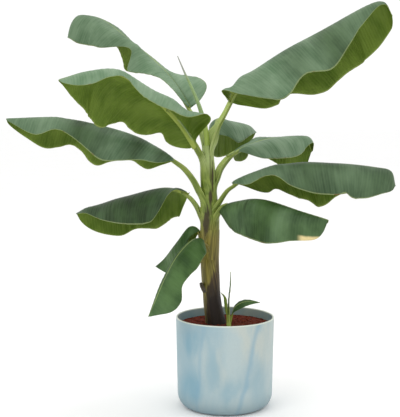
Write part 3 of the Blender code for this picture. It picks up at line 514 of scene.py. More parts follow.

# %% [markdown]
# The upper face of a banana leaf is a bluish green under a thin bloom of wax, ribbed
# with hundreds of fine veins that run from the midrib to the margin. The mesh carries
# the distance along the midrib and out from it, so one sine of their sum draws the
# veins wherever the blade bends. A pale line edges the margin, and older leaves have
# dark streaks between the veins.
# Along each blade, given rows blend a dark bare green with a pale bloomy one: the bloom, together with painted light
# and shade along the blade.

# %% The finish of the upper face
VEIN_GAP = 0.0062
VEIN_LEAN = 0.22


def vein_lines(finish, gap):
    """Lines that leave the midrib and lean towards the tip, as values from 0 to 1."""
    along, across = finish.mark("along"), abs(finish.mark("across"))
    return ((along - across * VEIN_LEAN) * (2 * math.pi / gap)).wave()


def vein_streaks(finish, fine, long, seed):
    """Noise drawn out along the veins: fine across them, long between the rib and margin."""
    along, across = finish.mark("along"), finish.mark("across")
    lean = abs(across) * VEIN_LEAN
    return finish.noise(finish.vector((along - lean) * fine, across * long, finish.mark("leaf") + seed))


def green_range(finish, masks, dark, light, streak, vein):
    """A leaf green that wanders from dark to light, with paler streaks and vein lines."""
    patches, streaks, veins = masks
    face = finish.blend(patches.step(0.3, 0.7), paint(*dark), paint(*light))
    face = finish.blend(streaks.step(0.42, 0.75) * 0.25, face, paint(*streak))
    return finish.blend(veins.step(0.55, 1.0) * 0.20, face, paint(*vein))


upper = Finish("leaf upper face", specular=0.20)
veins = vein_lines(upper, VEIN_GAP)
streaks = vein_streaks(upper, 160, 14, 0.0)
# The wide patches paint the blade's own blotchy tone together with painted light and shade of its folds.
patches = vein_streaks(upper, 22, 16, 3.1)
dark_streaks = vein_streaks(upper, 95, 9, 7.7).step(0.56, 0.70) * vein_streaks(upper, 17, 12, 5.3).step(0.45, 0.62)
rim = upper.mark("rim")
masks = (patches, streaks, veins)
bloom_and_light_green = green_range(upper, masks, (90, 120, 88), (124, 148, 120), (146, 168, 140), (130, 156, 118))
bare_and_shade_green = green_range(upper, masks, (28, 44, 18), (56, 80, 44), (76, 102, 68), (64, 92, 48))
# Painted light and shade: each leaf's rows blend the dark bare green with the pale bloomy green, so lit and shaded
# stretches of the blade are painted along with its bloom.
face = upper.blend(upper.mark("tone"), bare_and_shade_green, bloom_and_light_green)
face = upper.blend(dark_streaks * upper.mark("marks") * 0.8, face, paint(34, 40, 30))
face = upper.blend(upper.mark("rib").step(0.75, 0.45), face, paint(142, 158, 96))
margin_noise = vein_streaks(upper, 60, 0, 1.7)
face = upper.blend(rim.step(0.965, 0.99) * 0.8, face, paint(140, 154, 104))
face = upper.blend(rim.step(0.97, 0.99) * margin_noise.step(0.58, 0.66), face, paint(110, 84, 50))
fresh = upper.blend(patches.step(0.3, 0.7), paint(40, 72, 22), paint(78, 112, 54))
x, y, z = upper.place()
youngest = upper.mark("leaf").step(100.5, 101.0) * 0.32 + upper.mark("leaf").step(107.0, 108.0) * 0.28
face = upper.blend(youngest * upper.mark("rib").step(0.45, 0.75), face, fresh)
ragged = z + (patches - 0.5) * 0.012 + (x - 0.17) * 0.05
dried = x.step(0.142, 0.156) * x.step(0.207, 0.196) * y.step(-0.08, -0.10) * ragged.step(0.4065, 0.4005)
face = upper.blend(dried * 0.9, face, paint(226, 206, 150))
upper.colour(face)
upper.gloss(0.42 + streaks * 0.16)
upper.relief(veins * 0.5 + streaks * 0.6, 0.0006, 0.55)
print("upper face:", len(upper.tree.nodes), "nodes")

# %% [markdown]
# The lower face has no bloom. Light that soaks through the blade makes it a warm
# yellow green, and the midrib stands out of it as a thick pale ridge. The same marks
# on the mesh draw it, so both faces of a leaf agree.

# %% The finish of the lower face
lower = Finish("leaf lower face", specular=0.12)
veins = vein_lines(lower, VEIN_GAP)
streaks = vein_streaks(lower, 150, 12, 2.0)
# The wide patches paint the blade's own blotchy tone together with painted light and shade of its folds.
patches = vein_streaks(lower, 20, 14, 9.1)
face = green_range(lower, (patches, streaks, veins), (74, 98, 24), (106, 128, 48), (120, 138, 64), (110, 132, 54))
face = lower.blend(lower.mark("rib").step(1.25, 0.9), face, paint(146, 160, 76))
face = lower.blend(lower.mark("rim").step(0.975, 0.99), face, paint(132, 146, 76))
lower.colour(face)
lower.gloss(0.46 + streaks * 0.14)
lower.relief(veins * 0.6 + streaks * 0.5, 0.0007, 0.6)
print("lower face:", len(lower.tree.nodes), "nodes")

# %% [markdown]
# Each blade is two grids of points, one for the upper face and one for the lower, half
# a millimetre apart and joined round the edge, so it is a real closed sheet. The
# columns crowd towards the midrib, where the lower face swells into the ridge. Small
# ripples grow towards the margin, and the veins' pleats are shaped as well as painted.

# %% Work out one blade
BLADE_ROWS = 150
HALF_COLUMNS = 22
SHEET = 0.0006


def half_grid(half, shares, steps, shape, rib, length):
    """How far out and down each point of a half lies, and its distance from the midrib."""
    skew, blunt = shape
    fade = np.clip(np.sin(np.pi * shares ** skew), 0, 1) ** blunt
    out, down, bow = keyed(half.rows, shares) * fade
    for place, deep, wide in half.notches:
        cut = 1 - deep * np.exp(-(((shares - place) * length) / wide) ** 2)
        out, down = out * cut, down * cut
    reach = np.hypot(out, down)
    short = np.maximum(1.2 * rib - reach, 0)
    out = out + short
    reach = np.hypot(out, down)
    arch = (bow / reach)[:, None] * np.sin(np.pi * steps[None, :] ** 0.8)
    outs = out[:, None] * steps + down[:, None] * arch
    downs = down[:, None] * steps - out[:, None] * arch
    arc = np.hypot(np.diff(outs, axis=1), np.diff(downs, axis=1)).cumsum(1)
    arc = np.concatenate([np.zeros((len(shares), 1)), arc], 1)
    return outs, downs, arc


def blade_points(leaf, seed):
    """The blade's two faces as grids of points, with what the shaders need to know."""
    line, length = smooth_curve(leaf.path, 401)
    forward, up, right = carried_frames(calmed(line), facing(leaf.path))
    even = np.linspace(0, 1, BLADE_ROWS + 1)
    shares = 0.75 * even + 0.25 * (1 - np.cos(np.pi * even)) / 2
    where = (leaf.neck + (1 - leaf.neck) * shares) * 400
    place, ahead, above, aside = (at_share(values, where) for values in (line, forward, up, right))
    blade_length = length * (1 - leaf.neck)
    rib = leaf.radii[1] * (1 - 0.82 * shares ** 0.8)
    steps = (np.arange(HALF_COLUMNS + 1) / HALF_COLUMNS) ** 1.5
    grids, arcs, rims = [], [], []
    for side, half in ((-1, leaf.left), (1, leaf.right)):
        out, down, arc = half_grid(half, shares, steps, leaf.shape, rib, blade_length)
        grid = place[:, None] + side * out[..., None] * aside[:, None] - down[..., None] * above[:, None]
        fade = np.clip(np.sin(np.pi * shares), 0, 1)[:, None] ** 0.5
        travel = shares[:, None] * blade_length
        ripple = wobble(travel * 2 * np.pi / 0.045 + side, seed + side) * half.ripple
        pleat = 0.00022 * np.sin(2 * np.pi * (travel - arc * VEIN_LEAN) / (2 * VEIN_GAP))
        lift = (ripple * steps ** 2 * fade + pleat * np.minimum(steps * 6, 1)) * fade
        slope_out = np.gradient(grid, axis=1)
        slope_on = np.gradient(grid, axis=0)
        normal = np.cross(slope_out, slope_on) * side
        normal /= np.maximum(np.linalg.norm(normal, axis=2), 1e-12)[..., None]
        grid = grid + normal * lift[..., None]
        grids.append(grid)
        arcs.append(arc * side)
        rims.append(np.broadcast_to(steps, arc.shape))
    top = np.concatenate([grids[0][:, ::-1], grids[1][:, 1:]], 1)
    across = np.concatenate([arcs[0][:, ::-1], arcs[1][:, 1:]], 1)
    rims = np.concatenate([rims[0][:, ::-1], rims[1][:, 1:]], 1)
    normal = np.cross(np.gradient(top, axis=1), np.gradient(top, axis=0))
    normal /= np.maximum(np.linalg.norm(normal, axis=2), 1e-12)[..., None]
    reach = np.abs(across) / rib[:, None]
    ridge = 1.7 * rib[:, None] * np.sqrt(np.clip(1 - np.minimum(reach / 1.15, 1) ** 2, 0, 1))
    groove = 0.25 * rib[:, None] * np.exp(-(reach / 0.7) ** 2)
    top = top + above[:, None] * (0.75 * rib[:, None, None])
    bottom = top - normal * SHEET - above[:, None] * ridge[..., None]
    top = top - normal * groove[..., None]
    along = np.broadcast_to((shares * blade_length)[:, None], across.shape)
    tone = np.broadcast_to(np.interp(shares, *zip(*leaf.tone))[:, None], across.shape)
    return top, bottom, {"along": along, "across": across, "rim": rims, "rib": reach, "tone": tone}


# %% Build the eleven blades
def build_blade(leaf, seed):
    """One blade as a closed sheet with its two finishes."""
    top, bottom, marks = blade_points(leaf, seed)
    rows, columns = top.shape[:2]
    count = rows * columns
    upper_faces = grid_faces(rows, columns)
    lower_faces = grid_faces(rows, columns, start=count, flip=True)
    edge = np.concatenate([
        np.arange(columns),
        np.arange(1, rows) * columns + columns - 1,
        (rows - 1) * columns + np.arange(columns - 2, -1, -1),
        np.arange(rows - 2, 0, -1) * columns,
    ])
    after = np.roll(edge, -1)
    side_faces = np.stack([after, edge, edge + count, after + count], 1)
    faces = np.concatenate([upper_faces, lower_faces, side_faces])
    pick = np.concatenate([np.zeros(len(upper_faces)), np.ones(len(lower_faces) + len(side_faces))])
    carried = {key: np.concatenate([values.ravel()] * 2) for key, values in marks.items()}
    carried["marks"] = np.full(2 * count, leaf.marks)
    carried["leaf"] = np.full(2 * count, seed * 11.3)
    points = np.concatenate([top.reshape(-1, 3), bottom.reshape(-1, 3)])
    return make_piece("leaf_" + leaf.name, points, faces, [upper, lower],
                      ["blade_" + leaf.name], carried, pick)


for number, leaf in enumerate(LEAVES):
    blade = build_blade(leaf, number + 1)
    print(blade.name, len(blade.data.polygons), "faces")

# %% [markdown]
# The stem of a banana plant is no wood: it is rolled from the sheaths of its leaves.
# Their overlapping edges run up it as long slanting steps. A ring of points is pushed
# out by a saw-tooth that drifts round the stem with height, which gives those steps.
# It is green above, olive and brown below, and dark purple where old sheaths have died.

# %% The finish of the stem
SCARS = ((-0.042, 0.418, 0.010, 0.042), (-0.0325, 0.474, 0.006, 0.020), (-0.0285, 0.515, 0.003, 0.040),
         (-0.0315, 0.267, 0.005, 0.018), (-0.036, 0.212, 0.004, 0.016))


def weathered(finish, face, fibres, blots):
    """Colours of old sheaths: olive, then brown, nearly black low down on one side."""
    x, y, z = finish.place()
    olive = finish.blend(fibres.step(0.35, 0.65), paint(84, 74, 20), paint(136, 122, 50))
    face = finish.blend(z.step(0.45, 0.37) * 0.9, face, olive)
    brown = finish.blend(fibres.step(0.30, 0.70), paint(40, 28, 12), paint(88, 72, 36))
    far_side = (x + 0.0235 + z.step(0.315, 0.265) * 0.0175 + (blots - 0.5) * 0.02).step(-0.004, 0.004)
    face = finish.blend(far_side * z.step(0.37, 0.29), face, brown)
    low = (blots * 0.6 + z.step(0.29, 0.20)).step(0.55, 0.95)
    face = finish.blend(z.step(0.31, 0.25) * low * 0.4, face, brown)
    face = finish.blend(far_side * z.step(0.29, 0.24) * 0.85, face, paint(28, 20, 20))
    for side, level, wide, tall in SCARS:
        apart = (((x - side) / wide) ** 2 + ((z - level) / tall) ** 2) ** 0.5 + (blots - 0.5) * 1.2
        face = finish.blend(apart.step(1.0, 0.45) * y.step(0.0, -0.005) * 0.9, face, paint(46, 32, 10))
    return face


stem_skin = Finish("stem skin", specular=0.30)
around, height = stem_skin.mark("around"), stem_skin.place()[2]
fibres = stem_skin.noise(stem_skin.vector(around * 34, height * 22, 0.0), detail=5)
blots = stem_skin.noise(stem_skin.vector(around * 7, height * 26, 4.0), detail=3, distortion=0.6)
face = stem_skin.blend(fibres.step(0.35, 0.70), paint(92, 108, 36), paint(134, 148, 76))
fresh = stem_skin.blend(fibres.step(0.35, 0.70), paint(144, 162, 96), paint(178, 192, 130))
face = stem_skin.blend(height.step(0.515, 0.56), face, fresh)
face = weathered(stem_skin, face, fibres, blots)
face = stem_skin.blend(stem_skin.mark("step") * 0.6, face, paint(52, 38, 18))
stem_skin.colour(face)
stem_skin.gloss(0.42 + fibres * 0.25)
stem_skin.relief(fibres * 0.7 + blots * 0.3, 0.0009, 0.6)

# %% Build the stem
STEM = (
    (-0.0200, 0.175, 0.0250),
    (-0.0218, 0.195, 0.0226),
    (-0.0290, 0.239, 0.0200),
    (-0.0330, 0.307, 0.0195),
    (-0.0338, 0.375, 0.0196),
    (-0.0345, 0.431, 0.0192),
    (-0.0370, 0.486, 0.0160),
    (-0.0395, 0.542, 0.0140),
    (-0.0400, 0.585, 0.0090),
)
SOIL_LEVEL = 0.187
STEM_ROWS = 260
STEM_RING = 144

knots, _ = smooth_curve([(side, radius, level) for side, level, radius in STEM], STEM_ROWS + 1)


def stem_at(level):
    """The stem's sideways place and radius at a level."""
    return np.interp(level, knots[:, 2], knots[:, 0]), np.interp(level, knots[:, 2], knots[:, 1])


turn = 2 * np.pi * np.arange(STEM_RING) / STEM_RING
rings, steps_mark = [], []
for side, radius, level in knots:
    push = np.zeros(STEM_RING)
    shade = np.zeros(STEM_RING)
    for start, drift, deep in ((0.6, 1.1, 0.0013), (2.5, -0.8, 0.0011), (4.3, 0.9, 0.0013)):
        saw = ((turn - start - drift * (level - 0.2) * 3) / (2 * np.pi)) % 1.0
        push += deep * (saw - 0.5)
        shade = np.maximum(shade, np.exp(-((saw - 0.985) / 0.02) ** 2))
    push += 0.0004 * wobble(turn * 3 + level * 40, 8)
    reach = radius + push
    ring = np.stack([side + reach * np.cos(turn), reach * np.sin(turn), np.full(STEM_RING, max(level, SOIL_LEVEL - 0.004))], 1)
    rings.append(ring)
    steps_mark.append(shade)
points, faces = skin_of_rings(rings)
marks = {"around": np.tile(np.minimum(turn, 2 * np.pi - turn), len(knots)), "step": np.array(steps_mark).ravel()}
stem = make_piece("stem_sheaths", points, faces, [stem_skin], ["stem"], marks)
print("stem faces:", len(stem.data.polygons))

# %% [markdown]
# A stalk is the leaf's midrib carried on to the stem: round beneath, and hollowed
# along its top like a gutter. Lower down it widens into the sheath that wraps the
# stem. It is lofted from rings whose width, depth and hollow change along the line.
# The tissue is a yellow green, streaked lengthwise, with a brown edge to the gutter.

# %% The finish of the stalks
stalk_skin = Finish("stalk skin", specular=0.35)
along, around = stalk_skin.mark("along"), stalk_skin.mark("around")
height = stalk_skin.place()[2]
fibres = stalk_skin.noise(stalk_skin.vector(along * 14, around * 26, stalk_skin.mark("leaf")), detail=4)
clouds = stalk_skin.noise(stalk_skin.vector(along * 30, around * 3, stalk_skin.mark("leaf")), detail=2)
blots = stalk_skin.noise(stalk_skin.vector(around * 9, height * 30, 4.0), detail=3, distortion=0.6)
face = stalk_skin.blend(clouds.step(0.35, 0.65), paint(88, 108, 30), paint(122, 138, 56))
face = stalk_skin.blend(fibres.step(0.45, 0.75) * 0.6, face, paint(156, 168, 92))
face = stalk_skin.blend(fibres.step(0.45, 0.25) * 0.4, face, paint(66, 84, 16))
face = stalk_skin.blend(stalk_skin.mark("inside") * 0.85, face, paint(176, 194, 110))
face = stalk_skin.blend(stalk_skin.mark("lip") * fibres.step(0.35, 0.6) * 0.6, face, paint(96, 86, 40))
x, y, z = stalk_skin.place()
crown = z.step(0.515, 0.565) * (((x + 0.036) ** 2 + y ** 2) ** 0.5).step(0.032, 0.018)
face = stalk_skin.blend(crown * 0.7, face, stalk_skin.blend(fibres.step(0.35, 0.7), paint(148, 166, 96), paint(182, 194, 136)))
face = weathered(stalk_skin, face, fibres, blots)
stalk_skin.colour(face)
stalk_skin.gloss(0.38 + fibres * 0.2)
stalk_skin.relief(fibres, 0.0005, 0.5)


# %% The stalks' lines and radii
STALKS = {
    "top_right": (0.7, (-0.039, 0.000, 0.530, 0.0145), (-0.038, -0.003, 0.571, 0.0145), (-0.032, -0.008, 0.602, 0.0175),
                  (-0.018, -0.013, 0.629, 0.0090), (-0.003, -0.019, 0.655, 0.0068), (0.009, -0.024, 0.679, 0.0066),
                  (0.019, -0.026, 0.698, 0.0060), (0.028, -0.027, 0.714, 0.0045)),
    "top_left": (0.0, (-0.038, 0.002, 0.545, 0.0080), (-0.056, 0.020, 0.623, 0.0065), (-0.084, 0.050, 0.671, 0.0052),
                 (-0.106, 0.071, 0.708, 0.0045)),
    "upper_left": (-0.4, (-0.040, 0.000, 0.520, 0.0120), (-0.050, -0.008, 0.552, 0.0110), (-0.059, -0.018, 0.576, 0.0102),
                   (-0.072, -0.028, 0.599, 0.0086), (-0.086, -0.041, 0.619, 0.0066), (-0.106, -0.063, 0.642, 0.0058),
                   (-0.128, -0.090, 0.665, 0.0050)),
    "back_right": (0.0, (-0.036, 0.004, 0.525, 0.0090), (-0.030, 0.022, 0.600, 0.0060), (-0.017, 0.050, 0.640, 0.0048)),
    "upper_right": (0.0, (-0.030, 0.002, 0.470, 0.0100), (-0.020, 0.004, 0.508, 0.0085), (-0.013, 0.009, 0.532, 0.0095),
                    (0.001, 0.020, 0.551, 0.0088), (0.014, 0.029, 0.563, 0.0074), (0.027, 0.038, 0.571, 0.0064),
                    (0.039, 0.046, 0.577, 0.0050)),
    "middle_right": (0.0, (-0.032, -0.001, 0.425, 0.0120), (-0.024, -0.006, 0.445, 0.0105), (-0.012, -0.014, 0.466, 0.0080),
                     (0.003, -0.023, 0.488, 0.0068), (0.017, -0.030, 0.499, 0.0062), (0.030, -0.036, 0.509, 0.0052)),
    "middle_left": (0.0, (-0.038, 0.000, 0.440, 0.0120), (-0.046, -0.005, 0.460, 0.0115), (-0.055, -0.009, 0.484, 0.0112),
                    (-0.069, -0.012, 0.511, 0.0102), (-0.088, -0.015, 0.535, 0.0090), (-0.109, -0.018, 0.551, 0.0070),
                    (-0.130, -0.020, 0.564, 0.0052)),
    "lower_left": (0.0, (-0.040, 0.000, 0.400, 0.0120), (-0.053, 0.003, 0.430, 0.0085), (-0.064, 0.009, 0.451, 0.0070),
                   (-0.078, 0.018, 0.468, 0.0062), (-0.095, 0.033, 0.479, 0.0054)),
    "lower_right": (0.0, (-0.032, -0.002, 0.395, 0.0120), (-0.022, -0.012, 0.428, 0.0090), (-0.007, -0.024, 0.452, 0.0068),
                    (0.002, -0.031, 0.459, 0.0048)),
    "hanging_front": (0.0, (-0.036, -0.002, 0.325, 0.0110), (-0.040, -0.018, 0.360, 0.0062), (-0.051, -0.038, 0.376, 0.0046),
                      (-0.062, -0.052, 0.383, 0.0040)),
    "hanging_back": (0.0, (-0.038, 0.000, 0.335, 0.0110), (-0.053, 0.008, 0.372, 0.0056), (-0.059, 0.015, 0.391, 0.0044),
                     (-0.075, 0.023, 0.399, 0.0038)),
}

# %% Build the eleven stalks
STALK_ROWS, SHEATH_ROWS, RING = 70, 34, 48
SHEATH_DROP = 0.085


def smooth(share):
    """0 to 1 with soft ends."""
    share = np.clip(share, 0, 1)
    return share * share * (3 - 2 * share)


def sheath_ring(level, wrap, lift, away):
    """A crescent of sheath that lies on the stem, wrap radians to each side."""
    side, radius = stem_at(level)
    round_stem = np.pi * wrap * np.cos(turn)
    reach = radius + np.where(np.sin(turn) < 0, lift * (0.45 + 0.55 * abs(np.sin(turn)) ** 0.5), -0.0022)
    aside = np.array((away[1], -away[0]))
    flat = reach[:, None] * (np.cos(round_stem)[:, None] * away + np.sin(round_stem)[:, None] * aside)
    return np.column_stack([flat[:, 0] + side, flat[:, 1], np.full(RING, level)])


def stalk_rings(leaf):
    """Rings of the sheath up the stem, then of the gutter that it narrows into."""
    roll, *knots_of_line = STALKS[leaf.name]
    line, length = smooth_curve(knots_of_line, STALK_ROWS + 1)
    place, radius = line[:, :3], line[:, 3]
    _, above, aside = carried_frames(calmed(place, 8), facing(leaf.path))
    above, aside = (math.cos(roll) * above + math.sin(roll) * aside, math.cos(roll) * aside - math.sin(roll) * above)
    away = -np.array(facing(leaf.path)[:2])
    away = math.cos(roll) * away - math.sin(roll) * np.array((away[1], -away[0]))
    share = np.linspace(0, 1, STALK_ROWS + 1)
    rings, heights = [], []
    for part in np.linspace(0, 1, SHEATH_ROWS, endpoint=False):
        wrap = 0.80 - 0.36 * part
        rings.append(sheath_ring(place[0, 2] - SHEATH_DROP * (1 - part), wrap, -0.0012 + 0.0034 * part ** 0.6, away))
        heights.append(part - 1)
    for i, part in enumerate(share):
        hollow = 1.05 - 0.45 * part
        bowl = 0.80 - hollow * (1 - np.cos(turn) ** 2) ** 0.8
        rise = np.where(np.sin(turn) > 0, np.minimum(np.sin(turn), 1.0) ** 0.6 * bowl, np.sin(turn))
        gutter = (place[i] + radius[i] * np.cos(turn)[:, None] * aside[i] + 0.95 * radius[i] * rise[:, None] * above[i])
        hug = sheath_ring(place[i, 2], 0.44 - 0.2 * part, 0.0022, away)
        free = smooth(part / 0.34)
        rings.append(hug * (1 - free) + gutter * free)
        heights.append(part)
    lip = np.exp(-((turn - 0.30) / 0.20) ** 2) + np.exp(-((turn - np.pi + 0.30) / 0.20) ** 2)
    lip += np.exp(-((turn - 2 * np.pi - 0.30) / 0.20) ** 2)
    marks = {
        "along": np.repeat(np.array(heights) * length, RING),
        "around": np.tile(np.minimum(turn, 2 * np.pi - turn) / np.pi, len(rings)),
        "lip": np.tile(lip, len(rings)),
        "inside": np.tile(np.clip(np.sin(turn) * 3, 0, 1), len(rings)),
        "low": np.repeat(np.clip(-np.array(heights), 0, 1), RING),
    }
    return rings, marks


turn = 2 * np.pi * np.arange(RING) / RING
for number, leaf in enumerate(LEAVES):
    rings, marks = stalk_rings(leaf)
    points, faces = skin_of_rings(rings)
    marks["leaf"] = np.full(len(points), 4.7 * (number + 1))
    stalk = make_piece("stem_of_" + leaf.name, points, faces, [stalk_skin],
                       ["stalk_" + leaf.name], marks)
print("stalks:", len(LEAVES))

# %% [markdown]
# The pot is one turned shell. A Screw modifier spins its profile, which runs up the
# inside, over a rounded rim and down the outside to the wide rounded foot. Its plastic
# is marbled: pale blue with drifts of white and warm grey, and a few thin blue streaks
# that run down it. Noise that bends the streaks' own distance gives them their drift.
# The plastic is painted darker towards its foot and on the inner wall above the soil, as painted shade, and near white
# along the rim's top, as a painted highlight.

# %% The finish of the pot
MARBLE_PATCHES = (
    (-0.078, 0.160, 0.030, 0.045, 0.9), (-0.075, 0.060, 0.040, 0.060, 0.9), (-0.030, 0.105, 0.020, 0.060, 0.5),
    (0.010, 0.050, 0.030, 0.050, 0.6), (0.075, 0.070, 0.030, 0.070, 0.4),
)
marble = Finish("marbled plastic", specular=0.4)
x, y, z = marble.place()
warp = marble.noise(marble.vector(x * 9, y * 9, z * 5), detail=4, distortion=0.8)
warp_two = marble.noise(marble.vector(x * 20, y * 20, z * 8 + 5.0), detail=4, distortion=0.5)
grain = marble.noise(marble.vector(x * 240, y * 240, z * 240), detail=2)
face = marble.blend(warp.step(0.36, 0.64), paint(150, 174, 182), paint(176, 190, 190))
cream = warp_two.step(0.40, 0.66) * (x + 0.06).step(0.0, 0.05) * z.step(0.03, 0.13)
face = marble.blend(cream * 0.75, face, paint(190, 194, 184))
for side, level, wide, tall, power in MARBLE_PATCHES:
    apart = (((x - side + (warp - 0.5) * 0.03) / wide) ** 2 + ((z - level + (warp_two - 0.5) * 0.05) / tall) ** 2) ** 0.5
    face = marble.blend(apart.step(1.0, 0.25) * power * warp_two.step(0.25, 0.55), face, paint(122, 160, 176))
for side, slope, width, power in ((0.027, 0.22, 0.010, 0.50), (-0.062, 0.05, 0.008, 0.3)):
    drift = abs(x - side - z * slope + (warp - 0.5) * 0.030 + (warp_two - 0.5) * 0.012)
    face = marble.blend(drift.step(width, 0.0) * y.step(0.02, -0.02) * power, face, paint(118, 158, 180))
# Painted shade: the plastic darkens towards the foot, as the shade under the pot's rounded bottom.
face = marble.blend(z.step(0.055, 0.0) * 0.6, face, paint(104, 128, 138))
face = marble.blend(0.10, face, paint(96, 142, 156))
# Painted shade: the inner wall above the soil is darkened, as the shade inside the pot.
inner_wall_shade = ((x * x + y * y) ** 0.5).step(0.1082, 0.1075) * z.step(0.150, 0.185)
face = marble.blend(inner_wall_shade * 0.45, face, paint(74, 104, 96))
# Painted highlight: the rim's top is painted near white, as the light that falls on it.
face = marble.blend(z.step(0.2000, 0.2018), face, paint(212, 220, 208))
face = marble.blend(grain.step(0.35, 0.75) * 0.10, face, paint(140, 158, 162))
marble.colour(face)
marble.gloss(0.50 + warp_two * 0.12)
marble.relief(grain * 0.4 + warp_two, 0.0005, 0.25)

# %% Build the pot
POT = {"height": 0.203, "rim": 0.110, "side": 0.1065, "foot": 0.082, "corner": 0.032, "wall": 0.004, "floor": 0.006}


def rounded_corner(inner, outer, height, count=14):
    """Points from the wall down round the corner to the foot."""
    turns = np.linspace(0, math.pi / 2, count)
    return [(inner + (outer - inner) * math.cos(t), height * (1 - math.sin(t))) for t in turns]


def pot_profile():
    """Up the inside, over the rim, down the outside."""
    wall = POT["wall"]
    inside = rounded_corner(POT["foot"] - wall, POT["side"] - wall, POT["corner"] - POT["floor"])
    profile = [(0.0, POT["floor"])] + [(r, h + POT["floor"]) for r, h in inside[::-1]]
    bead = wall / 2
    centre = (POT["rim"] - bead, POT["height"] - bead)
    for t in np.linspace(math.pi, 0, 9):
        profile.append((centre[0] + bead * math.cos(t), centre[1] + bead * math.sin(t)))
    outside = rounded_corner(POT["foot"], POT["side"], POT["corner"])
    return profile + outside + [(POT["foot"] - 0.004, 0.0), (0.0, 0.0)]


profile = pot_profile()
pot_mesh = bpy.data.meshes.new("pot_shell")
pot_mesh.from_pydata([(r, 0.0, h) for r, h in profile], [(i, i + 1) for i in range(len(profile) - 1)], [])
pot_mesh.materials.append(marble.material)
pot = bpy.data.objects.new("pot_shell", pot_mesh)
bpy.context.scene.collection.objects.link(pot)
spin = pot.modifiers.new("spin", "SCREW")
spin.steps = 160
spin.render_steps = 160
spin.use_merge_vertices = True
spin.merge_threshold = 0.00001
spin.use_smooth_shade = True
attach(pot, "root")
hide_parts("pot")
print("pot profile points:", len(profile))

# %% [markdown]
# Potting mix is never flat: it is a bed of crumbs. A disc of points is lifted by
# wandering noise, and some hundred small lumps of odd shapes lie on it. They are made
# from one array and joined in one mesh, because loose particles would not be kept.

# %% The finish of the soil
earth = Finish("potting mix", roughness=0.95, specular=0.2)
x, y, z = earth.place()
crumbs = earth.noise(earth.vector(x * 160, y * 160, z * 160), detail=6)
beds = earth.noise(earth.vector(x * 30, y * 30, z * 30), detail=2)
face = earth.blend(crumbs.step(0.35, 0.65), paint(74, 22, 8), paint(118, 46, 26))
face = earth.blend(beds.step(0.45, 0.7) * 0.4, face, paint(92, 52, 34))
face = earth.blend(crumbs.step(0.66, 0.74) * 0.5, face, paint(140, 92, 66))
earth.colour(face)
earth.relief(crumbs, 0.0016, 0.9)

# %% Build the soil and its crumbs
rng = np.random.default_rng(3)
SOIL_RINGS = 60
SOIL_TURNS = 180
wall_radius = 0.1052
soil_rows = []
for r in np.linspace(0.0008, wall_radius, SOIL_RINGS):
    t = 2 * np.pi * np.arange(SOIL_TURNS) / SOIL_TURNS
    px, py = r * np.cos(t), r * np.sin(t)
    lift = 0.0012 * wobble(px * 260 + 4 * wobble(py * 190, 2), 4) * wobble(py * 240 + 3, 5)
    lift += 0.0009 * wobble(px * 700 + py * 500, 6)
    dip = 0.003 * (r / wall_radius) ** 4
    soil_rows.append(np.stack([px, py, SOIL_LEVEL - dip + lift], 1))
t = 2 * np.pi * np.arange(SOIL_TURNS) / SOIL_TURNS
for r, level in ((0.1045, 0.150), (0.1020, 0.040), (0.0800, 0.0075), (0.0010, 0.0075)):
    soil_rows.append(np.stack([r * np.cos(t), r * np.sin(t), np.full(SOIL_TURNS, level)], 1))
points, faces = skin_of_rings(soil_rows)
soil = make_piece("soil_bed", points, faces, [earth], ["soil"])

ball = bmesh.new()
bmesh.ops.create_icosphere(ball, subdivisions=1, radius=1.0)
ball_points = np.array([v.co[:] for v in ball.verts])
ball_faces = np.array([[v.index for v in f.verts] for f in ball.faces])
ball.free()
lump_points, lump_faces = [], []
for i in range(420):
    r, t = 0.100 * math.sqrt(rng.uniform(0.02, 1)), rng.uniform(0, 2 * math.pi)
    size = rng.uniform(0.0010, 0.0034) * np.array([1, rng.uniform(0.6, 1), rng.uniform(0.5, 0.8)])
    shape = ball_points * (1 + 0.25 * rng.standard_normal((len(ball_points), 1))).clip(0.6, 1.4) * size
    centre = (r * math.cos(t), r * math.sin(t), SOIL_LEVEL - 0.003 * (r / wall_radius) ** 4)
    lump_faces.append(ball_faces + i * len(ball_points))
    lump_points.append(shape + centre)
crumb_piece = make_piece("soil_crumbs", np.concatenate(lump_points), np.concatenate(lump_faces), [earth], [])
print("soil faces:", len(soil.data.polygons), "crumbs: 420")

# %% [markdown]
# The new leaf rises from the crown as a tight roll, thick as a pencil at its foot and
# fine as a bristle at its grey tip. The dry stub is what is left of an old sheath.
# Both are lofted like the stalks, from rings along a line.

# %% The new leaf and the dry stub
roll_skin = Finish("rolled leaf skin", specular=0.45)
along, around = roll_skin.mark("along"), roll_skin.mark("around")
fibres = roll_skin.noise(roll_skin.vector(along * 40, around * 9, 1.0), detail=3)
face = roll_skin.blend(fibres.step(0.35, 0.7), paint(124, 150, 92), paint(160, 184, 128))
face = roll_skin.blend(along.step(0.17, 0.205), face, paint(156, 158, 146))
face = roll_skin.blend(roll_skin.place()[2].step(0.66, 0.61), face, paint(158, 178, 84))
face = roll_skin.blend(roll_skin.mark("lip") * 0.5, face, paint(86, 112, 56))
roll_skin.colour(face)
roll_skin.gloss(0.40 + fibres * 0.15)
roll_skin.relief(fibres, 0.0004, 0.4)

husk_skin = Finish("dry husk", roughness=0.9, specular=0.2)
along, around = husk_skin.mark("along"), husk_skin.mark("around")
fibres = husk_skin.noise(husk_skin.vector(along * 60, around * 24, 2.0), detail=5)
face = husk_skin.blend(fibres.step(0.35, 0.7), paint(58, 52, 44), paint(120, 112, 96))
husk_skin.colour(face)
husk_skin.relief(fibres, 0.0010, 0.8)


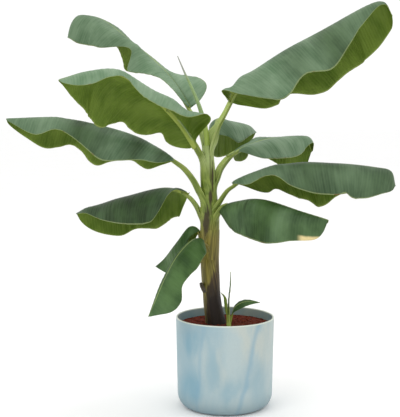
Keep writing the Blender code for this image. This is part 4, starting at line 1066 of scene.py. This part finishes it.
def tapered_roll(name, path, radii, finish, nodes, top, seam=0.0, rows=60, ring=28, dent=0.0):
    """A limb whose radius runs from one value to another, with an optional rolled seam."""
    line, length = smooth_curve(path, rows + 1)
    forward, up, right = carried_frames(calmed(line, 1), top)
    share = np.linspace(0, 1, rows + 1)
    turn = 2 * np.pi * np.arange(ring) / ring
    rings, lips = [], []
    for i in range(rows + 1):
        radius = radii[0] + (radii[1] - radii[0]) * share[i]
        saw = ((turn - 4.0 - 2.2 * share[i]) / (2 * np.pi)) % 1.0
        reach = radius * (1 + seam * (saw - 0.5) + dent * wobble(turn * 2 + share[i] * 7, 12))
        rings.append(line[i] + reach[:, None] * (np.cos(turn)[:, None] * right[i] + np.sin(turn)[:, None] * up[i]))
        lips.append(np.exp(-((saw - 0.97) / 0.04) ** 2))
    points, faces = skin_of_rings(rings)
    marks = {
        "along": np.repeat(share * length, ring),
        "around": np.tile(np.minimum(turn, 2 * np.pi - turn), rows + 1),
        "lip": np.array(lips).ravel(),
    }
    return make_piece(name, points, faces, [finish], nodes, marks)


SPEAR_PATH = (
    (-0.0390, 0.000, 0.560), (-0.0440, -0.003, 0.620), (-0.0560, -0.008, 0.667),
    (-0.0740, -0.010, 0.711), (-0.0890, -0.012, 0.743), (-0.1050, -0.014, 0.780),
)
new_leaf = tapered_roll("new_leaf_roll", SPEAR_PATH, (0.0075, 0.0010), roll_skin,
                        ["spear_leaf"], (1, 0, 0), seam=0.25)
STUB_PATH = ((-0.038, -0.008, 0.256), (-0.048, -0.012, 0.266), (-0.0545, -0.015, 0.280))
stub = tapered_roll("old_sheath_stub", STUB_PATH, (0.0060, 0.0035), husk_skin,
                    ["dry_stub"], (1, 0, 0), dent=0.25)
print("rolled leaf and stub made")

# %% [markdown]
# The sucker is a plant in miniature: a stub of stem, an upright narrow leaf that has
# hardly opened, one that arches to the right and a short one, darkly streaked, whose browned
# tip is not drawn. Its leaves go through the same blade code as the large ones, with small widths.

# %% Build the sucker
sucker_stem = tapered_roll("sucker_shoot", ((0.0080, -0.030, 0.180), (0.0078, -0.030, 0.192), (0.0070, -0.030, 0.212)),
                           (0.0055, 0.0040), roll_skin, ["sucker_stem"], (1, 0, 0), seam=0.15, rows=20)
layer_size = len(sucker_stem.data.vertices)
for key, value in (("leaf", 2.0), ("foot", 0.0)):
    layer = sucker_stem.data.attributes.new(key, "FLOAT", "POINT")
    layer.data.foreach_set("value", np.full(layer_size, value, np.float32))



def narrow(widths):
    """A half that slopes gently, with its width given at shares of the length."""
    return Half([(share, 0.94 * wide, 0.34 * wide, 0.04 * wide) for share, wide in widths], 0.0003, ())



SUCKER_LEAVES = (
    Leaf("upright", ((0.0070, -0.030, 0.206), (0.0070, -0.030, 0.245), (0.0101, -0.030, 0.278), (0.0112, -0.030, 0.308)),
         0.0, (0.70, 0.60), (0.0028, 0.0028), ((0, 0.5), (1, 0.5)), 0.0,
         narrow(((0, 0.0070), (1, 0.0085))), narrow(((0, 0.0070), (1, 0.0085)))),
    Leaf("right", ((0.0100, -0.030, 0.190), (0.0150, -0.034, 0.214), (0.0230, -0.037, 0.231), (0.0400, -0.040, 0.2415),
                   (0.0590, -0.042, 0.2435), (0.0760, -0.044, 0.2420)),
         0.0, (1.10, 0.60), (0.0024, 0.0024), ((0, 0.2), (1, 0.3)), 0.0,
         Half(((0, 0.002, 0.001, 0.000), (0.25, 0.003, 0.002, 0.000), (0.42, 0.009, 0.009, 0.001),
               (0.60, 0.010, 0.010, 0.001), (0.8, 0.009, 0.008, 0.001), (1, 0.008, 0.004, 0.001)), 0.0003, ()),
         Half(((0, 0.002, 0.000, 0.000), (0.25, 0.003, 0.000, 0.000), (0.42, 0.009, -0.003, 0.001),
               (0.60, 0.010, -0.004, 0.001), (0.8, 0.009, -0.003, 0.001), (1, 0.008, 0.000, 0.001)), 0.0003, ())),
    Leaf("short", ((0.0060, -0.0330, 0.196), (0.0035, -0.0365, 0.2210), (0.0020, -0.0405, 0.2430), (-0.0010, -0.0420, 0.2550),
                   (-0.0100, -0.0425, 0.2640)),
         0.0, (1.0, 0.60), (0.0020, 0.0020), ((0, 0.1), (1, 0.1)), 1.0,
         narrow(((0, 0.003), (0.5, 0.007), (1, 0.008))), narrow(((0, 0.003), (0.5, 0.007), (1, 0.008)))),
)


def build_small_leaf(leaf, seed):
    """A sucker's leaf, from the same blade code."""
    top, bottom, marks = blade_points(leaf, seed)
    rows, columns = top.shape[:2]
    count = rows * columns
    edge = np.concatenate([
        np.arange(columns),
        np.arange(1, rows) * columns + columns - 1,
        (rows - 1) * columns + np.arange(columns - 2, -1, -1),
        np.arange(rows - 2, 0, -1) * columns,
    ])
    after = np.roll(edge, -1)
    parts = [grid_faces(rows, columns), grid_faces(rows, columns, start=count, flip=True),
             np.stack([after, edge, edge + count, after + count], 1)]
    pick = np.repeat([0, 1, 1], [len(part) for part in parts])
    carried = {key: np.concatenate([values.ravel()] * 2) for key, values in marks.items()}
    for key, value in (("marks", leaf.marks), ("leaf", seed * 11.3)):
        carried[key] = np.full(2 * count, value)
    points = np.concatenate([top.reshape(-1, 3), bottom.reshape(-1, 3)])
    return make_piece("sucker_blade_" + leaf.name, points, np.concatenate(parts), [upper, lower],
                      ["sucker_leaf_" + leaf.name], carried, pick)


for number, leaf in enumerate(SUCKER_LEAVES):
    build_small_leaf(leaf, 30 + number)
print("sucker leaves:", len(SUCKER_LEAVES))

# %% [markdown]
# The studio is a plain pale floor under an even white sky, with one broad soft lamp
# high on the left, a weaker one on the right and one from above. Broad lamps give the
# waxy leaves wide soft sheens, and hardly any hard shadow.

# %% Floor and light
floor_finish = Finish("studio floor", roughness=0.9, specular=0.1)
x, y, z = floor_finish.place()
mottle = floor_finish.noise(floor_finish.vector(x * 3, y * 3, 0.0), detail=2)
floor_finish.colour(floor_finish.blend(mottle, paint(249, 249, 248), paint(252, 252, 252)))
floor_mesh = bpy.data.meshes.new("floor")
floor_mesh.from_pydata([(-30, -30, -0.0005), (30, -30, -0.0005), (30, 30, -0.0005), (-30, 30, -0.0005)], [], [(0, 1, 2, 3)])
floor_mesh.materials.append(floor_finish.material)
floor = bpy.data.objects.new("floor", floor_mesh)
bpy.context.scene.collection.objects.link(floor)

world = bpy.data.worlds.new("sky")
world.use_nodes = True
world.node_tree.nodes["Background"].inputs["Color"].default_value = (1.0, 1.0, 1.0, 1.0)
world.node_tree.nodes["Background"].inputs["Strength"].default_value = 1.04
bpy.context.scene.world = world


def soft_lamp(name, place, aim, size, power):
    """A square lamp that faces a point."""
    data = bpy.data.lights.new(name, "AREA")
    data.size = size
    data.energy = power
    lamp = bpy.data.objects.new(name, data)
    lamp.location = place
    direction = np.array(aim, float) - np.array(place, float)
    flat = math.hypot(direction[0], direction[1])
    lamp.rotation_euler = (math.atan2(flat, -direction[2]), 0, math.atan2(-direction[0], direction[1]))
    bpy.context.scene.collection.objects.link(lamp)
    return lamp


soft_lamp("key lamp", (-1.6, -2.0, 2.4), (0, 0, 0.5), 1.8, 16)
soft_lamp("fill lamp", (2.2, -1.6, 1.6), (0, 0, 0.5), 1.8, 5)
soft_lamp("top lamp", (0.2, 0.4, 2.8), (0, 0, 0.5), 1.6, 12)
print("studio lit")
